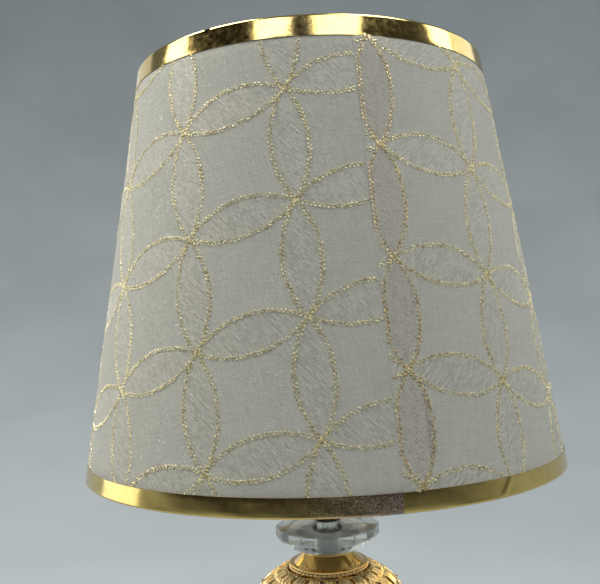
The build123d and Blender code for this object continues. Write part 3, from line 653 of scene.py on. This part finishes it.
def stitch_petal(points, faces, first, second, seam, in_hem, chance):
    """A petal's two outlines, each a pair of slanted stitch rows; in the hem they keep off the fold."""
    for centre, radius in petal_arcs(first, second):
        start_angle = atan2(first.y - centre.y, first.x - centre.x)
        turn = atan2(second.y - centre.y, second.x - centre.x) - start_angle
        turn = (turn + pi) % (2 * pi) - pi
        count = int(abs(turn) * radius / STITCH_PITCH)
        for row in (-1, 1):
            row_radius = radius + row * STITCH_ROW
            for step in range(count):
                angle = start_angle + turn * (step + 0.5 + row * 0.25) / count
                astray = chance.uniform(-STITCH_ASTRAY, STITCH_ASTRAY)
                turned_by = chance.uniform(-STITCH_TURN, STITCH_TURN)
                heading = angle + pi / 2 + row * STITCH_SLANT + turned_by
                size = chance.uniform(0.65, 1.15)
                spot = centre + Vector((cos(angle), sin(angle))) * (row_radius + astray)
                if in_hem:
                    nearest = HEM_STITCH_EDGE - row * STITCH_ROW
                    spot.x += max(0.0, nearest - seam_distance(*flat_to_wall(spot), seam))
                lift = on_cloth(spot, seam)
                if lift is not None:
                    add_stitch(points, faces, spot, heading, lift, size)


def crossing(point, way, centre, radius):
    """The two distances along a line where it crosses a circle, or None."""
    offset = point - centre
    along = offset.dot(way)
    inside = along * along - offset.length_squared + radius * radius
    if inside <= 0:
        return None
    return -along - sqrt(inside), -along + sqrt(inside)


def add_hatch(points, faces, begin, end, seam):
    """One short run of hatch thread: a low ridge on the cloth."""
    side = (end - begin).normalized() * HATCH_WIDTH / 2
    side = Vector((-side.y, side.x))
    lifts = [on_cloth(spot, seam) for spot in (begin, end)]
    if None in lifts:
        return
    here = len(points)
    for spot, lift in zip((begin, end), lifts):
        for offset, rise in ((-1, -HATCH_SINK), (0, HATCH_HEIGHT), (1, -HATCH_SINK)):
            points.append(flat_point(spot + side * offset, lift + rise))
    faces.append((here, here + 1, here + 4, here + 3))
    faces.append((here + 1, here + 2, here + 5, here + 4))


def hatch_petal(points, faces, first, second, seam, way, chance):
    """Slanted threads that fill a petal, each in short runs between the weave's threads."""
    circles = petal_arcs(first, second)
    inset = STITCH_ROW + STITCH_WIDTH / 2
    across = Vector((-way.y, way.x))
    middle = (first + second) / 2
    reach = int((second - first).length / 2 / HATCH_PITCH) + 1
    for step in range(-reach, reach + 1):
        point = middle + across * step * HATCH_PITCH
        spans = [crossing(point, way, centre, radius - inset) for centre, radius in circles]
        if None in spans:
            continue
        low = max(span[0] for span in spans) + chance.uniform(0.0, HATCH_SHORTEST)
        high = min(span[1] for span in spans)
        while low + HATCH_SHORTEST < high:
            run = min(HATCH_RUN * chance.uniform(0.6, 1.4), high - low)
            add_hatch(points, faces, point + way * low, point + way * (low + run), seam)
            low += run + HATCH_SKIP


def petals(name, seam, lattice, hatch_way, seed):
    """All stitching of one panel: outlines and hatching, with the hem's own thread apart."""
    chance = Random(seed)
    origin, row_step, column_step = [Vector(entry) for entry in lattice[:3]]
    closing = lattice[3]

    def lattice_node(i, j):
        drop = APEX - closing * min(j * j, 2.4)
        return origin + row_step * i + column_step * j + Vector((0, drop))

    meshes = {key: ([], []) for key in ("outlines", "hatching", "hem_outlines", "hem_hatching")}
    way = Vector(hatch_way).normalized()
    hem_way = Vector((way.x, -way.y))
    reach = range(-LATTICE_REACH, LATTICE_REACH + 1)
    past_edge = 30.0
    past_seam = 0.4
    for i in reach:
        for j in reach:
            first = lattice_node(i, j)
            for upright, second in ((False, lattice_node(i + 1, j)), (True, lattice_node(i, j + 1))):
                middle = (first + second) / 2
                azimuth, slant = flat_to_wall(middle)
                if not -past_edge < slant < SLANT + past_edge:
                    continue
                if not seam - past_seam < azimuth < seam + pi + past_seam:
                    continue
                in_hem = upright and 0 < seam_distance(azimuth, slant, seam) < HEM_WIDTH
                prefix = "hem_" if in_hem else ""
                stitch_petal(*meshes[prefix + "outlines"], first, second, seam, in_hem, chance)
                thread_way = hem_way if in_hem else way
                hatch_petal(*meshes[prefix + "hatching"], first, second, seam, thread_way, chance)
    made = []
    for (key, (points, faces)), thread in zip(meshes.items(), threads):
        if faces:
            made.append(add_piece(f"{name}_petal_{key}", points, faces, "shade", "fabric", stuff=thread))
    return made


right_cloth = cloth_panel("right_cloth", SEAM_AZIMUTH, RIGHT_LATTICE, "right_fabric_panel")
left_cloth = cloth_panel("left_cloth", SEAM_AZIMUTH - pi, LEFT_LATTICE, "left_fabric_panel")
right_stitches = petals("right", SEAM_AZIMUTH, RIGHT_LATTICE, (1, -1), 11)
left_stitches = petals("left", SEAM_AZIMUTH - pi, LEFT_LATTICE, (1, 1), 12)
for panel, stitches in ((right_cloth, right_stitches), (left_cloth, left_stitches)):
    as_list(stitches)


# Shade: foil trims


def foil_wave(azimuth, across, seed):
    """The small unevenness of a foil band that was glued round by hand."""
    along = azimuth * BOTTOM_RADIUS
    slow = SLOW_WAVE * sin(along / 23.0 + seed) * sin(along / 37.0 + 2.1 * seed)
    quick = QUICK_WAVE * sin(along / 4.7 + across * 0.35 + seed) * sin(along / 13.0 + 1.3 * seed)
    return slow + quick


def pleat(azimuth, across, where, slope):
    """A diagonal pleat in a band: a low ridge across it."""
    along = (azimuth - where) * BOTTOM_RADIUS - slope * (across - BOTTOM_TRIM / 2)
    return PLEAT_HEIGHT * exp(-((along / PLEAT_WIDTH) ** 2))


def foil_band(name, node_name, width, lap_azimuth, edge_slant, up, pleated, worn, seed):
    """A foil band over an edge of the shade and round its wire, with its upper end at lap_azimuth.

    pleated is a pleat's azimuth and slope; worn is where, back from that end, how far and how much it
    glitters.
    """
    worn_start, worn_length, worn_amount = worn
    thick = TRIM_THICKNESS
    wire_turn = 4.7
    wire_height = 3.7
    inner_depth = 1.75
    inner_leg = 15.0
    lap = 9.0 / BOTTOM_RADIUS
    lap_rise = 0.34
    steps = 720
    across_points = [width * share / 10 for share in range(10, 0, -1)]
    sections = []
    glitter = []
    for step in range(steps + 1):
        around = (2 * pi + lap) * step / steps
        azimuth = lap_azimuth - lap + around
        on_top = smooth(around, 2 * pi - 0.012, 2 * pi) * lap_rise
        before_end = 2 * pi + lap - around
        begun = smooth(before_end, worn_start - 0.05, worn_start)
        wear = worn_amount * begun * (1 - smooth(before_end, worn_start, worn_start + worn_length))
        outer = []
        for across in across_points:
            fade = smooth(across, 0.0, 2.0) * (1 - smooth(across, width - 1.2, width) * 0.8)
            wave = foil_wave(azimuth, across, seed) + pleat(azimuth, across, *pleated)
            outer.append((across, wave * fade + on_top))
        turn = [(0.35, on_top), (0.0, -0.35), (0.0, -wire_turn + 0.6), (0.6, -wire_turn)]
        leg = [(wire_height, -wire_turn), (wire_height + 3.0, -inner_depth), (inner_leg, -inner_depth)]
        back = [(max(height, thick), max(lift - thick, thick - wire_turn)) for height, lift in outer]
        back += [(thick, -0.4), (thick, 0.7 - wire_turn), (0.7, thick - wire_turn)]
        back += [(wire_height - 0.1, thick - wire_turn), (wire_height + 2.9, thick - inner_depth)]
        back.append((inner_leg, thick - inner_depth))
        loop = outer + turn + leg + back[::-1]
        sections.append([wall_point(azimuth, edge_slant + up * height, lift) for height, lift in loop])
        glitter.extend([wear] * len(loop))
    points, faces = loft(sections, False)
    band = add_piece(name, points, faces, "shade", "gold_foil", [node_name], 50.0)
    band.data.attributes.new("glitter", "FLOAT", "POINT").data.foreach_set("value", glitter)


bottom_edge = ("bottom_foil", "bottom_trim", BOTTOM_TRIM, radians(13.8), SLANT, -1)
top_edge = ("top_foil", "top_trim", TOP_TRIM, radians(100), 0.0, 1)
foil_band(*bottom_edge, pleated=(radians(37), 0.9), worn=(0.0, 0.42, 1.0), seed=0.4)
foil_band(*top_edge, pleated=(radians(31), -0.8), worn=(1.75, 0.3, 0.2), seed=1.7)


# Column: turned and pierced gold work


def cell_boundary():
    """Points round a square cell from -1 to 1."""
    half = [(-1 + 2 * i / CELL_RUNS, 1.0) for i in range(CELL_RUNS)]
    half += [(1.0, 1 - 2 * i / CELL_SIDE_RUNS) for i in range(CELL_SIDE_RUNS)]
    return half + [(-x, -y) for x, y in half]


def pierced_cell(points, faces, middle, half_turn, tilts, slot, surface):
    """One cell of a pierced shell: from its border up to a raised rim and down into a slot."""
    half_tilt = (tilts[1] - tilts[0]) / 2
    mid_tilt = (tilts[0] + tilts[1]) / 2
    loops = [(share / 100, 0.0) for share in range(0, 61, 12)] + [(0.78, 0.5), (0.9, 0.8), (1.0, 0.1)]
    rings = []
    for share, rim in loops:
        ring = []
        for a, t in cell_boundary():
            way = atan2(t, a)
            across = a + (slot[0] * cos(way) - a) * share
            along = t + (slot[1] * sin(way) - t) * share
            rib = 0.5 + 0.5 * cos(CELL_RIBS * pi * across)
            height = max(rim, rib * RIB_HEIGHT * (1 - along**6) * (1 - smooth(share, 0.6, 0.9)))
            ring.append(surface(middle + across * half_turn, mid_tilt + along * half_tilt, height))
        rings.append(ring)
    add_skin(points, faces, rings)


def pierced_urn(name, node_name, half_height, land_radius, up):
    """Half of the urn: three staggered rows of rimmed slots between plain strips."""

    def surface(angle, tilt, lift):
        """A point of the urn: tilt from its pole in radians, lift off its surface."""
        normal = Vector((sin(tilt) / URN_RADIUS, cos(tilt) / half_height)).normalized()
        radius = URN_RADIUS * sin(tilt) + lift * normal.x
        height = half_height * cos(tilt) + lift * normal.y
        return radius * cos(angle), radius * sin(angle), URN_MIDDLE + up * height

    points = []
    faces = []
    land_tilt = asin(land_radius / URN_RADIUS)
    edge_tilt = acos(BAND_HEIGHT / 2 / half_height)
    edges = [radians(edge) for edge in ROW_EDGES]
    edges[0] = max(land_tilt + 0.002, edges[0])
    turns = SLOT_COUNT * CELL_RUNS
    angles = [2 * pi * step / turns for step in range(turns)]
    for tilts in ((land_tilt, edges[0]), (edges[3], edge_tilt)):
        add_skin(points, faces, [[surface(angle, tilt, 0.0) for angle in angles] for tilt in tilts])
    half_turn = pi / SLOT_COUNT
    for row, (tilt, slot_length, slot_width) in enumerate(SLOT_ROWS):
        tilts = edges[row], edges[row + 1]
        radius = URN_RADIUS * sin(radians(tilt))
        run = hypot(URN_RADIUS * cos(radians(tilt)), half_height * sin(radians(tilt)))
        slot = slot_width / 2 / (radius * half_turn), slot_length / (run * (tilts[1] - tilts[0]))
        for step in range(SLOT_COUNT):
            middle = 2 * half_turn * (step + (row + 1) / 2)
            pierced_cell(points, faces, middle, half_turn, tilts, slot, surface)
    urn = add_piece(name, points, faces, "lamp", "gold", [node_name], 75.0, pierced_gold)
    face_out(urn.data, 0.02 * MM)
    thickness = urn.modifiers.new("thickness", "SOLIDIFY")
    thickness.thickness = URN_WALL * MM
    thickness.offset = -1.0


def lathe(name, node_name, corners, rounding, slot="gold", body="lamp", steps=144, ripple=None, stuff=None):
    """A turned piece with rounded corners; ripple may move each point of the outline by its angle."""
    outline = rounded(corners, rounding)

    def profile_at(angle):
        return outline if ripple is None else [ripple(angle, r, z) for r, z in outline]

    points, faces = turned(profile_at, steps)
    return add_piece(name, points, faces, body, slot, [node_name], stuff=stuff)


def node_span(name):
    """Lowest and highest level of a node in millimetres."""
    low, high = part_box(name)
    return low.z / MM, high.z / MM


pierced_urn("pierced_dome", "urn_dome", DOME_RISE, DOME_LAND_RADIUS, 1)
pierced_urn("pierced_bowl", "urn_bowl", BOWL_DEPTH, BOWL_LAND_RADIUS, -1)


def rope(angle, radius, height):
    """Twists the outer face of the band like a cord."""
    outside = smooth(radius, URN_RADIUS - 0.4, URN_RADIUS + 0.4)
    strand = abs(sin(ROPE_STRANDS / 2 * angle + (height - URN_MIDDLE) * 0.55)) - 0.5
    return radius + outside * ROPE_DEPTH * strand, height


band_low, band_high = node_span("urn_band")
band_inner = URN_RADIUS - BAND_WALL
band_corners = [(band_inner, band_low)]
for step in range(9):
    swell = BAND_PROUD * (1 - (step / 4 - 1) ** 2)
    band_corners.append((URN_RADIUS + swell, band_low + BAND_HEIGHT * step / 8))
band_corners.append((band_inner, band_high))
lathe("rope_band", "urn_band", band_corners, 0.4, ripple=rope, steps=576)

quarter_turn = [step * pi / 16 for step in range(9)]
bell_low, bell_high = node_span("neck_bell")
bell_corners = [(BELL_RADIUS, bell_low)]
for turn in quarter_turn:
    level = bell_low + BELL_RIM + BELL_RISE * (1 - cos(turn))
    bell_corners.append((BELL_RADIUS - BELL_TAPER * sin(turn) ** 0.9, level))
bell_ceiling = bell_high - BELL_WALL
bell_corners += [(PIPE_HOLE, bell_high), (PIPE_HOLE, bell_ceiling)]
bell_corners += [(BELL_RADIUS - BELL_TAPER - 0.5, bell_ceiling), (BELL_RADIUS - BELL_WALL, bell_low)]
lathe("polished_bell", "neck_bell", bell_corners, 0.25)

beads_low, beads_high = node_span("bead_ring")
bead_middle = (beads_low + beads_high) / 2


def bead(angle, radius, height):
    """Swells the ring into a row of beads."""
    if radius < BEAD_CIRCLE - 0.4:
        return radius, height
    swell = 0.3 + 0.7 * abs(cos(BEAD_COUNT / 2 * angle)) ** 0.6
    return BEAD_CIRCLE + (radius - BEAD_CIRCLE) * swell, bead_middle + (height - bead_middle) * swell


bead_arc = arc((BEAD_CIRCLE, bead_middle), BEAD_RADIUS, -70, 70, 8)
bead_corners = [(BEAD_HOLE, beads_low), *bead_arc, (BEAD_HOLE, beads_high)]
lathe("bead_row", "bead_ring", bead_corners, 0.15, ripple=bead, steps=448, stuff=pierced_gold)


def tube(inner, outer, low, high):
    """The corners of a plain ring."""
    return [(inner, low), (outer, low), (outer, high), (inner, high)]


collar_corners = tube(PIPE_HOLE, COLLAR_RADIUS, *node_span("top_collar"))
lathe("top_collar_turned", "top_collar", collar_corners, 0.5, "dark_bronze", steps=96)

neck_low, neck_high = node_span("foot_collar")
neck_arc = arc((NECK_CIRCLE, (neck_low + neck_high) / 2), NECK_ROUND, -90, 90, 10)
neck_corners = [(PIPE_HOLE, neck_low), *neck_arc, (PIPE_HOLE, neck_high)]
lathe("foot_collar_turned", "foot_collar", neck_corners, 0.1, "dark_bronze", steps=96)

cup_low, cup_high = node_span("lower_bell")
cup_floor = cup_low + BELL_WALL
cup_corners = [(PIPE_HOLE, cup_low)]
for turn in quarter_turn:
    flare = (CUP_RADIUS - CUP_BASE_RADIUS) * sin(turn)
    cup_corners.append((CUP_BASE_RADIUS + flare, cup_low + CUP_RISE * (1 - cos(turn))))
cup_corners += [(CUP_RADIUS, cup_high), (CUP_RADIUS - BELL_WALL, cup_high)]
cup_corners += [(CUP_BASE_RADIUS - 0.5, cup_floor), (PIPE_HOLE, cup_floor)]
lathe("lower_bell_turned", "lower_bell", cup_corners, 0.25)


# Foot


def cut_back_hole(piece, radius, level, begin, end):
    """Cuts a round hole of this level through a piece's back, between two depths."""
    turns = [2 * pi * side / 48 for side in range(48)]
    circle = [(radius * cos(turn), level + radius * sin(turn)) for turn in turns]
    points, faces = loft([[(x, y, z) for x, z in circle] for y in (begin, end)], False)
    mesh = new_mesh("cutter", points, faces)
    face_out(mesh)
    cutter = put("cutter", mesh)
    cut = piece.modifiers.new("hole", "BOOLEAN")
    cut.operation = "DIFFERENCE"
    cut.object = cutter
    graph = bpy.context.evaluated_depsgraph_get()
    drilled = bpy.data.meshes.new_from_object(piece.evaluated_get(graph))
    piece.modifiers.remove(cut)
    piece.data = drilled
    drilled.set_sharp_from_angle(angle=radians(40))
    bpy.data.objects.remove(cutter)


def gadroon(angle, radius, height):
    """Raises lobes on the foot's shoulder and lower flank."""
    window = smooth(radius, FOOT_RADIUS - 21.0, FOOT_RADIUS - 11.0)
    window *= 1 - smooth(radius, FOOT_RADIUS - 1.6, FOOT_RADIUS - 0.6)
    lobe = abs(cos(GADROON_COUNT / 2 * angle)) ** 0.8 - 0.45
    return radius, height + window * GADROON_HEIGHT * lobe


foot_low, foot_high = node_span("foot_shell")
foot_inner = FOOT_RADIUS - FOOT_WALL
rim_middle = FOOT_RADIUS - RIM_ROUND
sweep_middle = rim_middle, SWEEP_LEVEL
inner_sweep_middle = rim_middle - FOOT_WALL, SWEEP_LEVEL - FOOT_WALL
foot_corners = [(FOOT_RADIUS, foot_low), (FOOT_RADIUS, RIM_LEVEL - 3.0), (FOOT_RADIUS, RIM_LEVEL)]
foot_corners += arc((rim_middle, RIM_LEVEL), RIM_ROUND, 15, 90, 8)
foot_corners += arc(sweep_middle, SWEEP_RADIUS, 267, 190, 26)
foot_corners += [(THROAT_RADIUS, foot_high), (PIPE_HOLE, foot_high)]
foot_corners += [(PIPE_HOLE, foot_high - FOOT_WALL), (THROAT_RADIUS - 1.3, foot_high - FOOT_WALL)]
foot_corners += arc(inner_sweep_middle, SWEEP_RADIUS, 190, 267, 26)
foot_corners.append((FOOT_RADIUS - 4.0, RIM_LEVEL + 3.0))
foot_corners += [(foot_inner, RIM_LEVEL), (foot_inner, foot_low)]
foot = lathe("gadrooned_foot", "foot_shell", foot_corners, 0.3, steps=320, ripple=gadroon)
bush_low, bush_high = node_span("cord_bush")
cut_back_hole(foot, CORD_HOLE_RADIUS, (bush_low + bush_high) / 2, FOOT_RADIUS - 10.0, FOOT_RADIUS + 10.0)

felt_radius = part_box("felt_pad")[1].x / MM


def fuzz(angle, radius, height):
    """Frays the felt's edge a little."""
    edge = smooth(radius, felt_radius - 1.0, felt_radius)
    return radius + edge * FELT_FUZZ * sin(91 * angle) * sin(37 * angle + 1.0), height


felt_corners = tube(PIN_HOLE, felt_radius, *node_span("felt_pad"))
felt = lathe("felt_disc", "felt_pad", felt_corners, 0.5, "felt", steps=360, ripple=fuzz)


# Crystal


def cut_crystal():
    """The crystal with its flat sides and its edges ground off."""
    low, high = node_span("crystal_disc")
    outline = [(radius, low + rise) for rise, radius in CRYSTAL_TIERS] + [(PIPE_HOLE, high), (PIPE_HOLE, low)]
    points, faces = turned(lambda angle: outline, CRYSTAL_SIDES)
    piece = add_piece("cut_crystal", points, faces, "lamp", "crystal", ["crystal_disc"], 10.0)
    ground = piece.modifiers.new("ground_edges", "BEVEL")
    ground.width = CRYSTAL_GROUND * MM
    ground.segments = 2
    ground.limit_method = "ANGLE"
    ground.angle_limit = radians(12)


cut_crystal()


# Lampholder, shade rings, switch knob and bulb cap


def threaded(name, node_name, body, slot, thread, levels, plain=()):
    """A sleeve with a rolled screw thread between two levels; plain is its outline below the thread."""
    crest, root, bore, pitch = thread
    low, high = levels
    steps_per_turn = 8
    count = int((high - low) / pitch * steps_per_turn)

    def profile_at(angle):
        outline = [(bore, plain[0][1] if plain else low)]
        outline += plain
        for step in range(count + 1):
            level = low + (high - low) * step / count
            ease = smooth(level, low, low + pitch) * (1 - smooth(level, high - pitch, high))
            wave = 0.5 + 0.5 * cos(2 * pi * level / pitch - angle)
            outline.append((root + (crest - root) * wave * ease, level))
        outline.append((bore, high))
        return outline

    points, faces = turned(profile_at, 96)
    add_piece(name, points, faces, body, slot, [node_name], 60.0)


skirt_low, skirt_high = node_span("holder_skirt")
flange_high = skirt_low + FLANGE_HEIGHT
edge_radius = FLANGE_RADIUS - FLANGE_EDGE
flange = [(edge_radius, skirt_low), (FLANGE_RADIUS, skirt_low + FLANGE_EDGE)]
flange += [(FLANGE_RADIUS, flange_high - FLANGE_EDGE), (edge_radius, flange_high)]
flange.append((SKIRT_SHOULDER, flange_high))
skirt_levels = flange_high + 0.4, skirt_high
threaded("threaded_skirt", "holder_skirt", "lamp", "black_plastic", SKIRT_THREAD, skirt_levels, flange)
threaded("threaded_bulb_cap", "bulb_cap", "bulb", "cap_metal", CAP_THREAD, node_span("bulb_cap"))


def grip(angle, radius, height):
    """Cuts finger flutes into a ring's rim."""
    rim = smooth(radius, RING_RADIUS - 2.0, RING_RADIUS - 0.5)
    return radius - rim * FLUTE_DEPTH * (0.5 + 0.5 * cos(RING_FLUTES * angle)), height


for ring in ("lower_shade_ring", "upper_shade_ring"):
    ring_corners = tube(RING_HOLE, RING_RADIUS, *node_span(ring))
    lathe("fluted_" + ring, ring, ring_corners, 0.8, "black_plastic", ring, 288, grip)


def ribbed_knob():
    """The switch's knob, ribbed along its side, on the lampholder's cross axis."""
    low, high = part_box("switch_knob")
    level = (low.z + high.z) / 2 / MM
    begin, end = low.x / MM, high.x / MM
    hole_end = begin + KNOB_DEPTH
    corners = [(KNOB_HOLE, begin), (KNOB_RADIUS, begin), (KNOB_END_RADIUS, end), (PIN_HOLE, end)]
    corners += [(PIN_HOLE, hole_end), (KNOB_HOLE, hole_end)]
    outline = rounded(corners, 0.7)

    def profile_at(angle):
        rib = KNOB_RIB_DEPTH * (0.5 + 0.5 * cos(KNOB_RIBS * angle))
        return [(r - smooth(r, 3.6, KNOB_END_RADIUS) * rib, z) for r, z in outline]

    points, faces = turned(profile_at, 144)
    points = [(z, x, level + y) for x, y, z in points]
    add_piece("ribbed_knob", points, faces, "switch_knob", "black_plastic", ["switch_knob"])


ribbed_knob()


# Studio: a pale bowl for floor and backdrop, soft lamps, and the camera


def studio_bowl():
    """A pale floor that curves up into a plain wall all round; painted shade darkens the wall in front of the
    lamp.
    """
    material, tree = start("studio_paint", {})
    clouds = noise(tree, place(tree), 3.0, 2.0)
    pale = ramp(tree, clouds, (0.3, (0.30, 0.335, 0.35)), (0.7, (0.35, 0.385, 0.40)))
    split = node(tree, "SeparateXYZ", {"Vector": place(tree)})
    # Painted shade: the wall in front of the lamp is darkened, most towards the left; the floor stays pale.
    sideways = between(tree, split.outputs["X"], 0.0, 1.0, -0.6, 1.4)
    dark = ramp(tree, sideways, (0.0, (0.012, 0.012, 0.012)), (1.0, (0.06, 0.063, 0.065)))
    in_front = between(tree, split.outputs["Y"], 1.0, 0.0, -0.7, 0.1)
    raised = between(tree, split.outputs["Z"], 0.0, 1.0, 0.02, 0.3)
    front_shade_mask = maths(tree, "MULTIPLY", in_front, raised)
    painted = node(tree, "Mix", {0: front_shade_mask, 6: pale, 7: dark}, data_type="RGBA").outputs[2]
    dress(material, painted, 0.9)
    outline = [(PIN_HOLE, 0.0), (FLOOR_RADIUS, 0.0)]
    outline += arc((FLOOR_RADIUS, WALL_ROUND), WALL_ROUND, -87, 0, 29)
    outline.append((FLOOR_RADIUS + WALL_ROUND, WALL_TOP))
    turns = [2 * pi * step / 96 for step in range(96)]
    points = []
    faces = []
    add_skin(points, faces, [[(r * cos(turn), r * sin(turn), z) for turn in turns] for r, z in outline])
    mesh = new_mesh("studio_bowl", points, faces)
    mesh.shade_smooth()
    mesh.materials.append(material)
    bowl_object = put("studio_bowl", mesh)


def lamp(name, azimuth, elevation, distance, size, watts, colour, mirrored_only=False):
    """A soft lamp that faces the shade; one that is mirrored only shows in gloss and lights no floor."""
    round_way, rise = radians(azimuth), radians(elevation)
    way = Vector((sin(round_way) * cos(rise), -cos(round_way) * cos(rise), sin(rise)))
    light = bpy.data.lights.new(name, "AREA")
    light.shape = "RECTANGLE"
    light.size, light.size_y = size
    light.energy = watts
    light.color = colour
    holder = put(name, light)
    holder.location = Vector((0, 0, LAMP_AIM * MM)) + way * distance
    holder.rotation_euler = (-way).to_track_quat("-Z", "Y").to_euler()
    holder.visible_camera = False
    holder.visible_diffuse = not mirrored_only


def photo_camera():
    """The photograph's view: place, direction and roll."""
    focal_pixels = 765.8
    picture_width = 600
    distance = 0.4189
    height = 0.2685
    pitch = radians(2.0)
    yaw = radians(-1.31)
    roll = radians(-2.33)
    data = bpy.data.cameras.new("photo_camera")
    data.sensor_fit = "HORIZONTAL"
    data.sensor_width = 36.0
    data.lens = focal_pixels / picture_width * data.sensor_width
    data.clip_start = 0.01
    camera = put("photo_camera", data)
    facing = Matrix.Rotation(-yaw, 4, "Z") @ Matrix.Rotation(pi / 2 + pitch, 4, "X")
    rolled = facing @ Matrix.Rotation(roll, 4, "Z")
    camera.matrix_world = Matrix.Translation((0, -distance, height)) @ rolled
    bpy.context.scene.camera = camera


studio_bowl()
photo_camera()
WARM = (1.0, 0.98, 0.94)
COOL = (0.97, 0.99, 1.0)
WHITE = (1.0, 0.99, 0.96)
for settings in (
    ("key_left", -90, 58, 1.6, (0.8, 0.8), 32.0, WARM),
    ("key_right", 58, 58, 1.6, (0.8, 0.8), 16.0, (0.98, 0.99, 1.0)),
    ("left_high", -93, 31, 1.7, (0.5, 0.45), 3.2, WARM),
    ("left_low", -101, 2, 1.2, (0.64, 0.74), 2.1, WARM, True),
    ("left_back", -141, 9, 1.2, (0.75, 1.05), 1.5, WARM, True),
    ("front_left", -22, 38, 1.8, (0.62, 0.35), 2.8, COOL),
    ("front_right", 20, 38, 1.8, (0.75, 0.35), 3.4, COOL),
    ("right_high", 96, 31, 1.7, (0.5, 0.45), 3.2, WARM),
    ("right_back", 121, 26, 1.7, (0.7, 0.45), 1.3, WARM),
    ("right_glint", 128, 8, 1.4, (0.6, 0.35), 1.2, WHITE, True),
    ("left_glint", -128, 8, 1.4, (0.6, 0.35), 1.6, WHITE, True),
):
    lamp(*settings)
world = bpy.data.worlds.new("studio_air")
world.use_nodes = True
air = world.node_tree.nodes["Background"]
air.inputs["Color"].default_value = (0.9, 0.95, 1.0, 1.0)
air.inputs["Strength"].default_value = 0.23
bpy.context.scene.world = world
bpy.context.scene.view_settings.view_transform = "Standard"
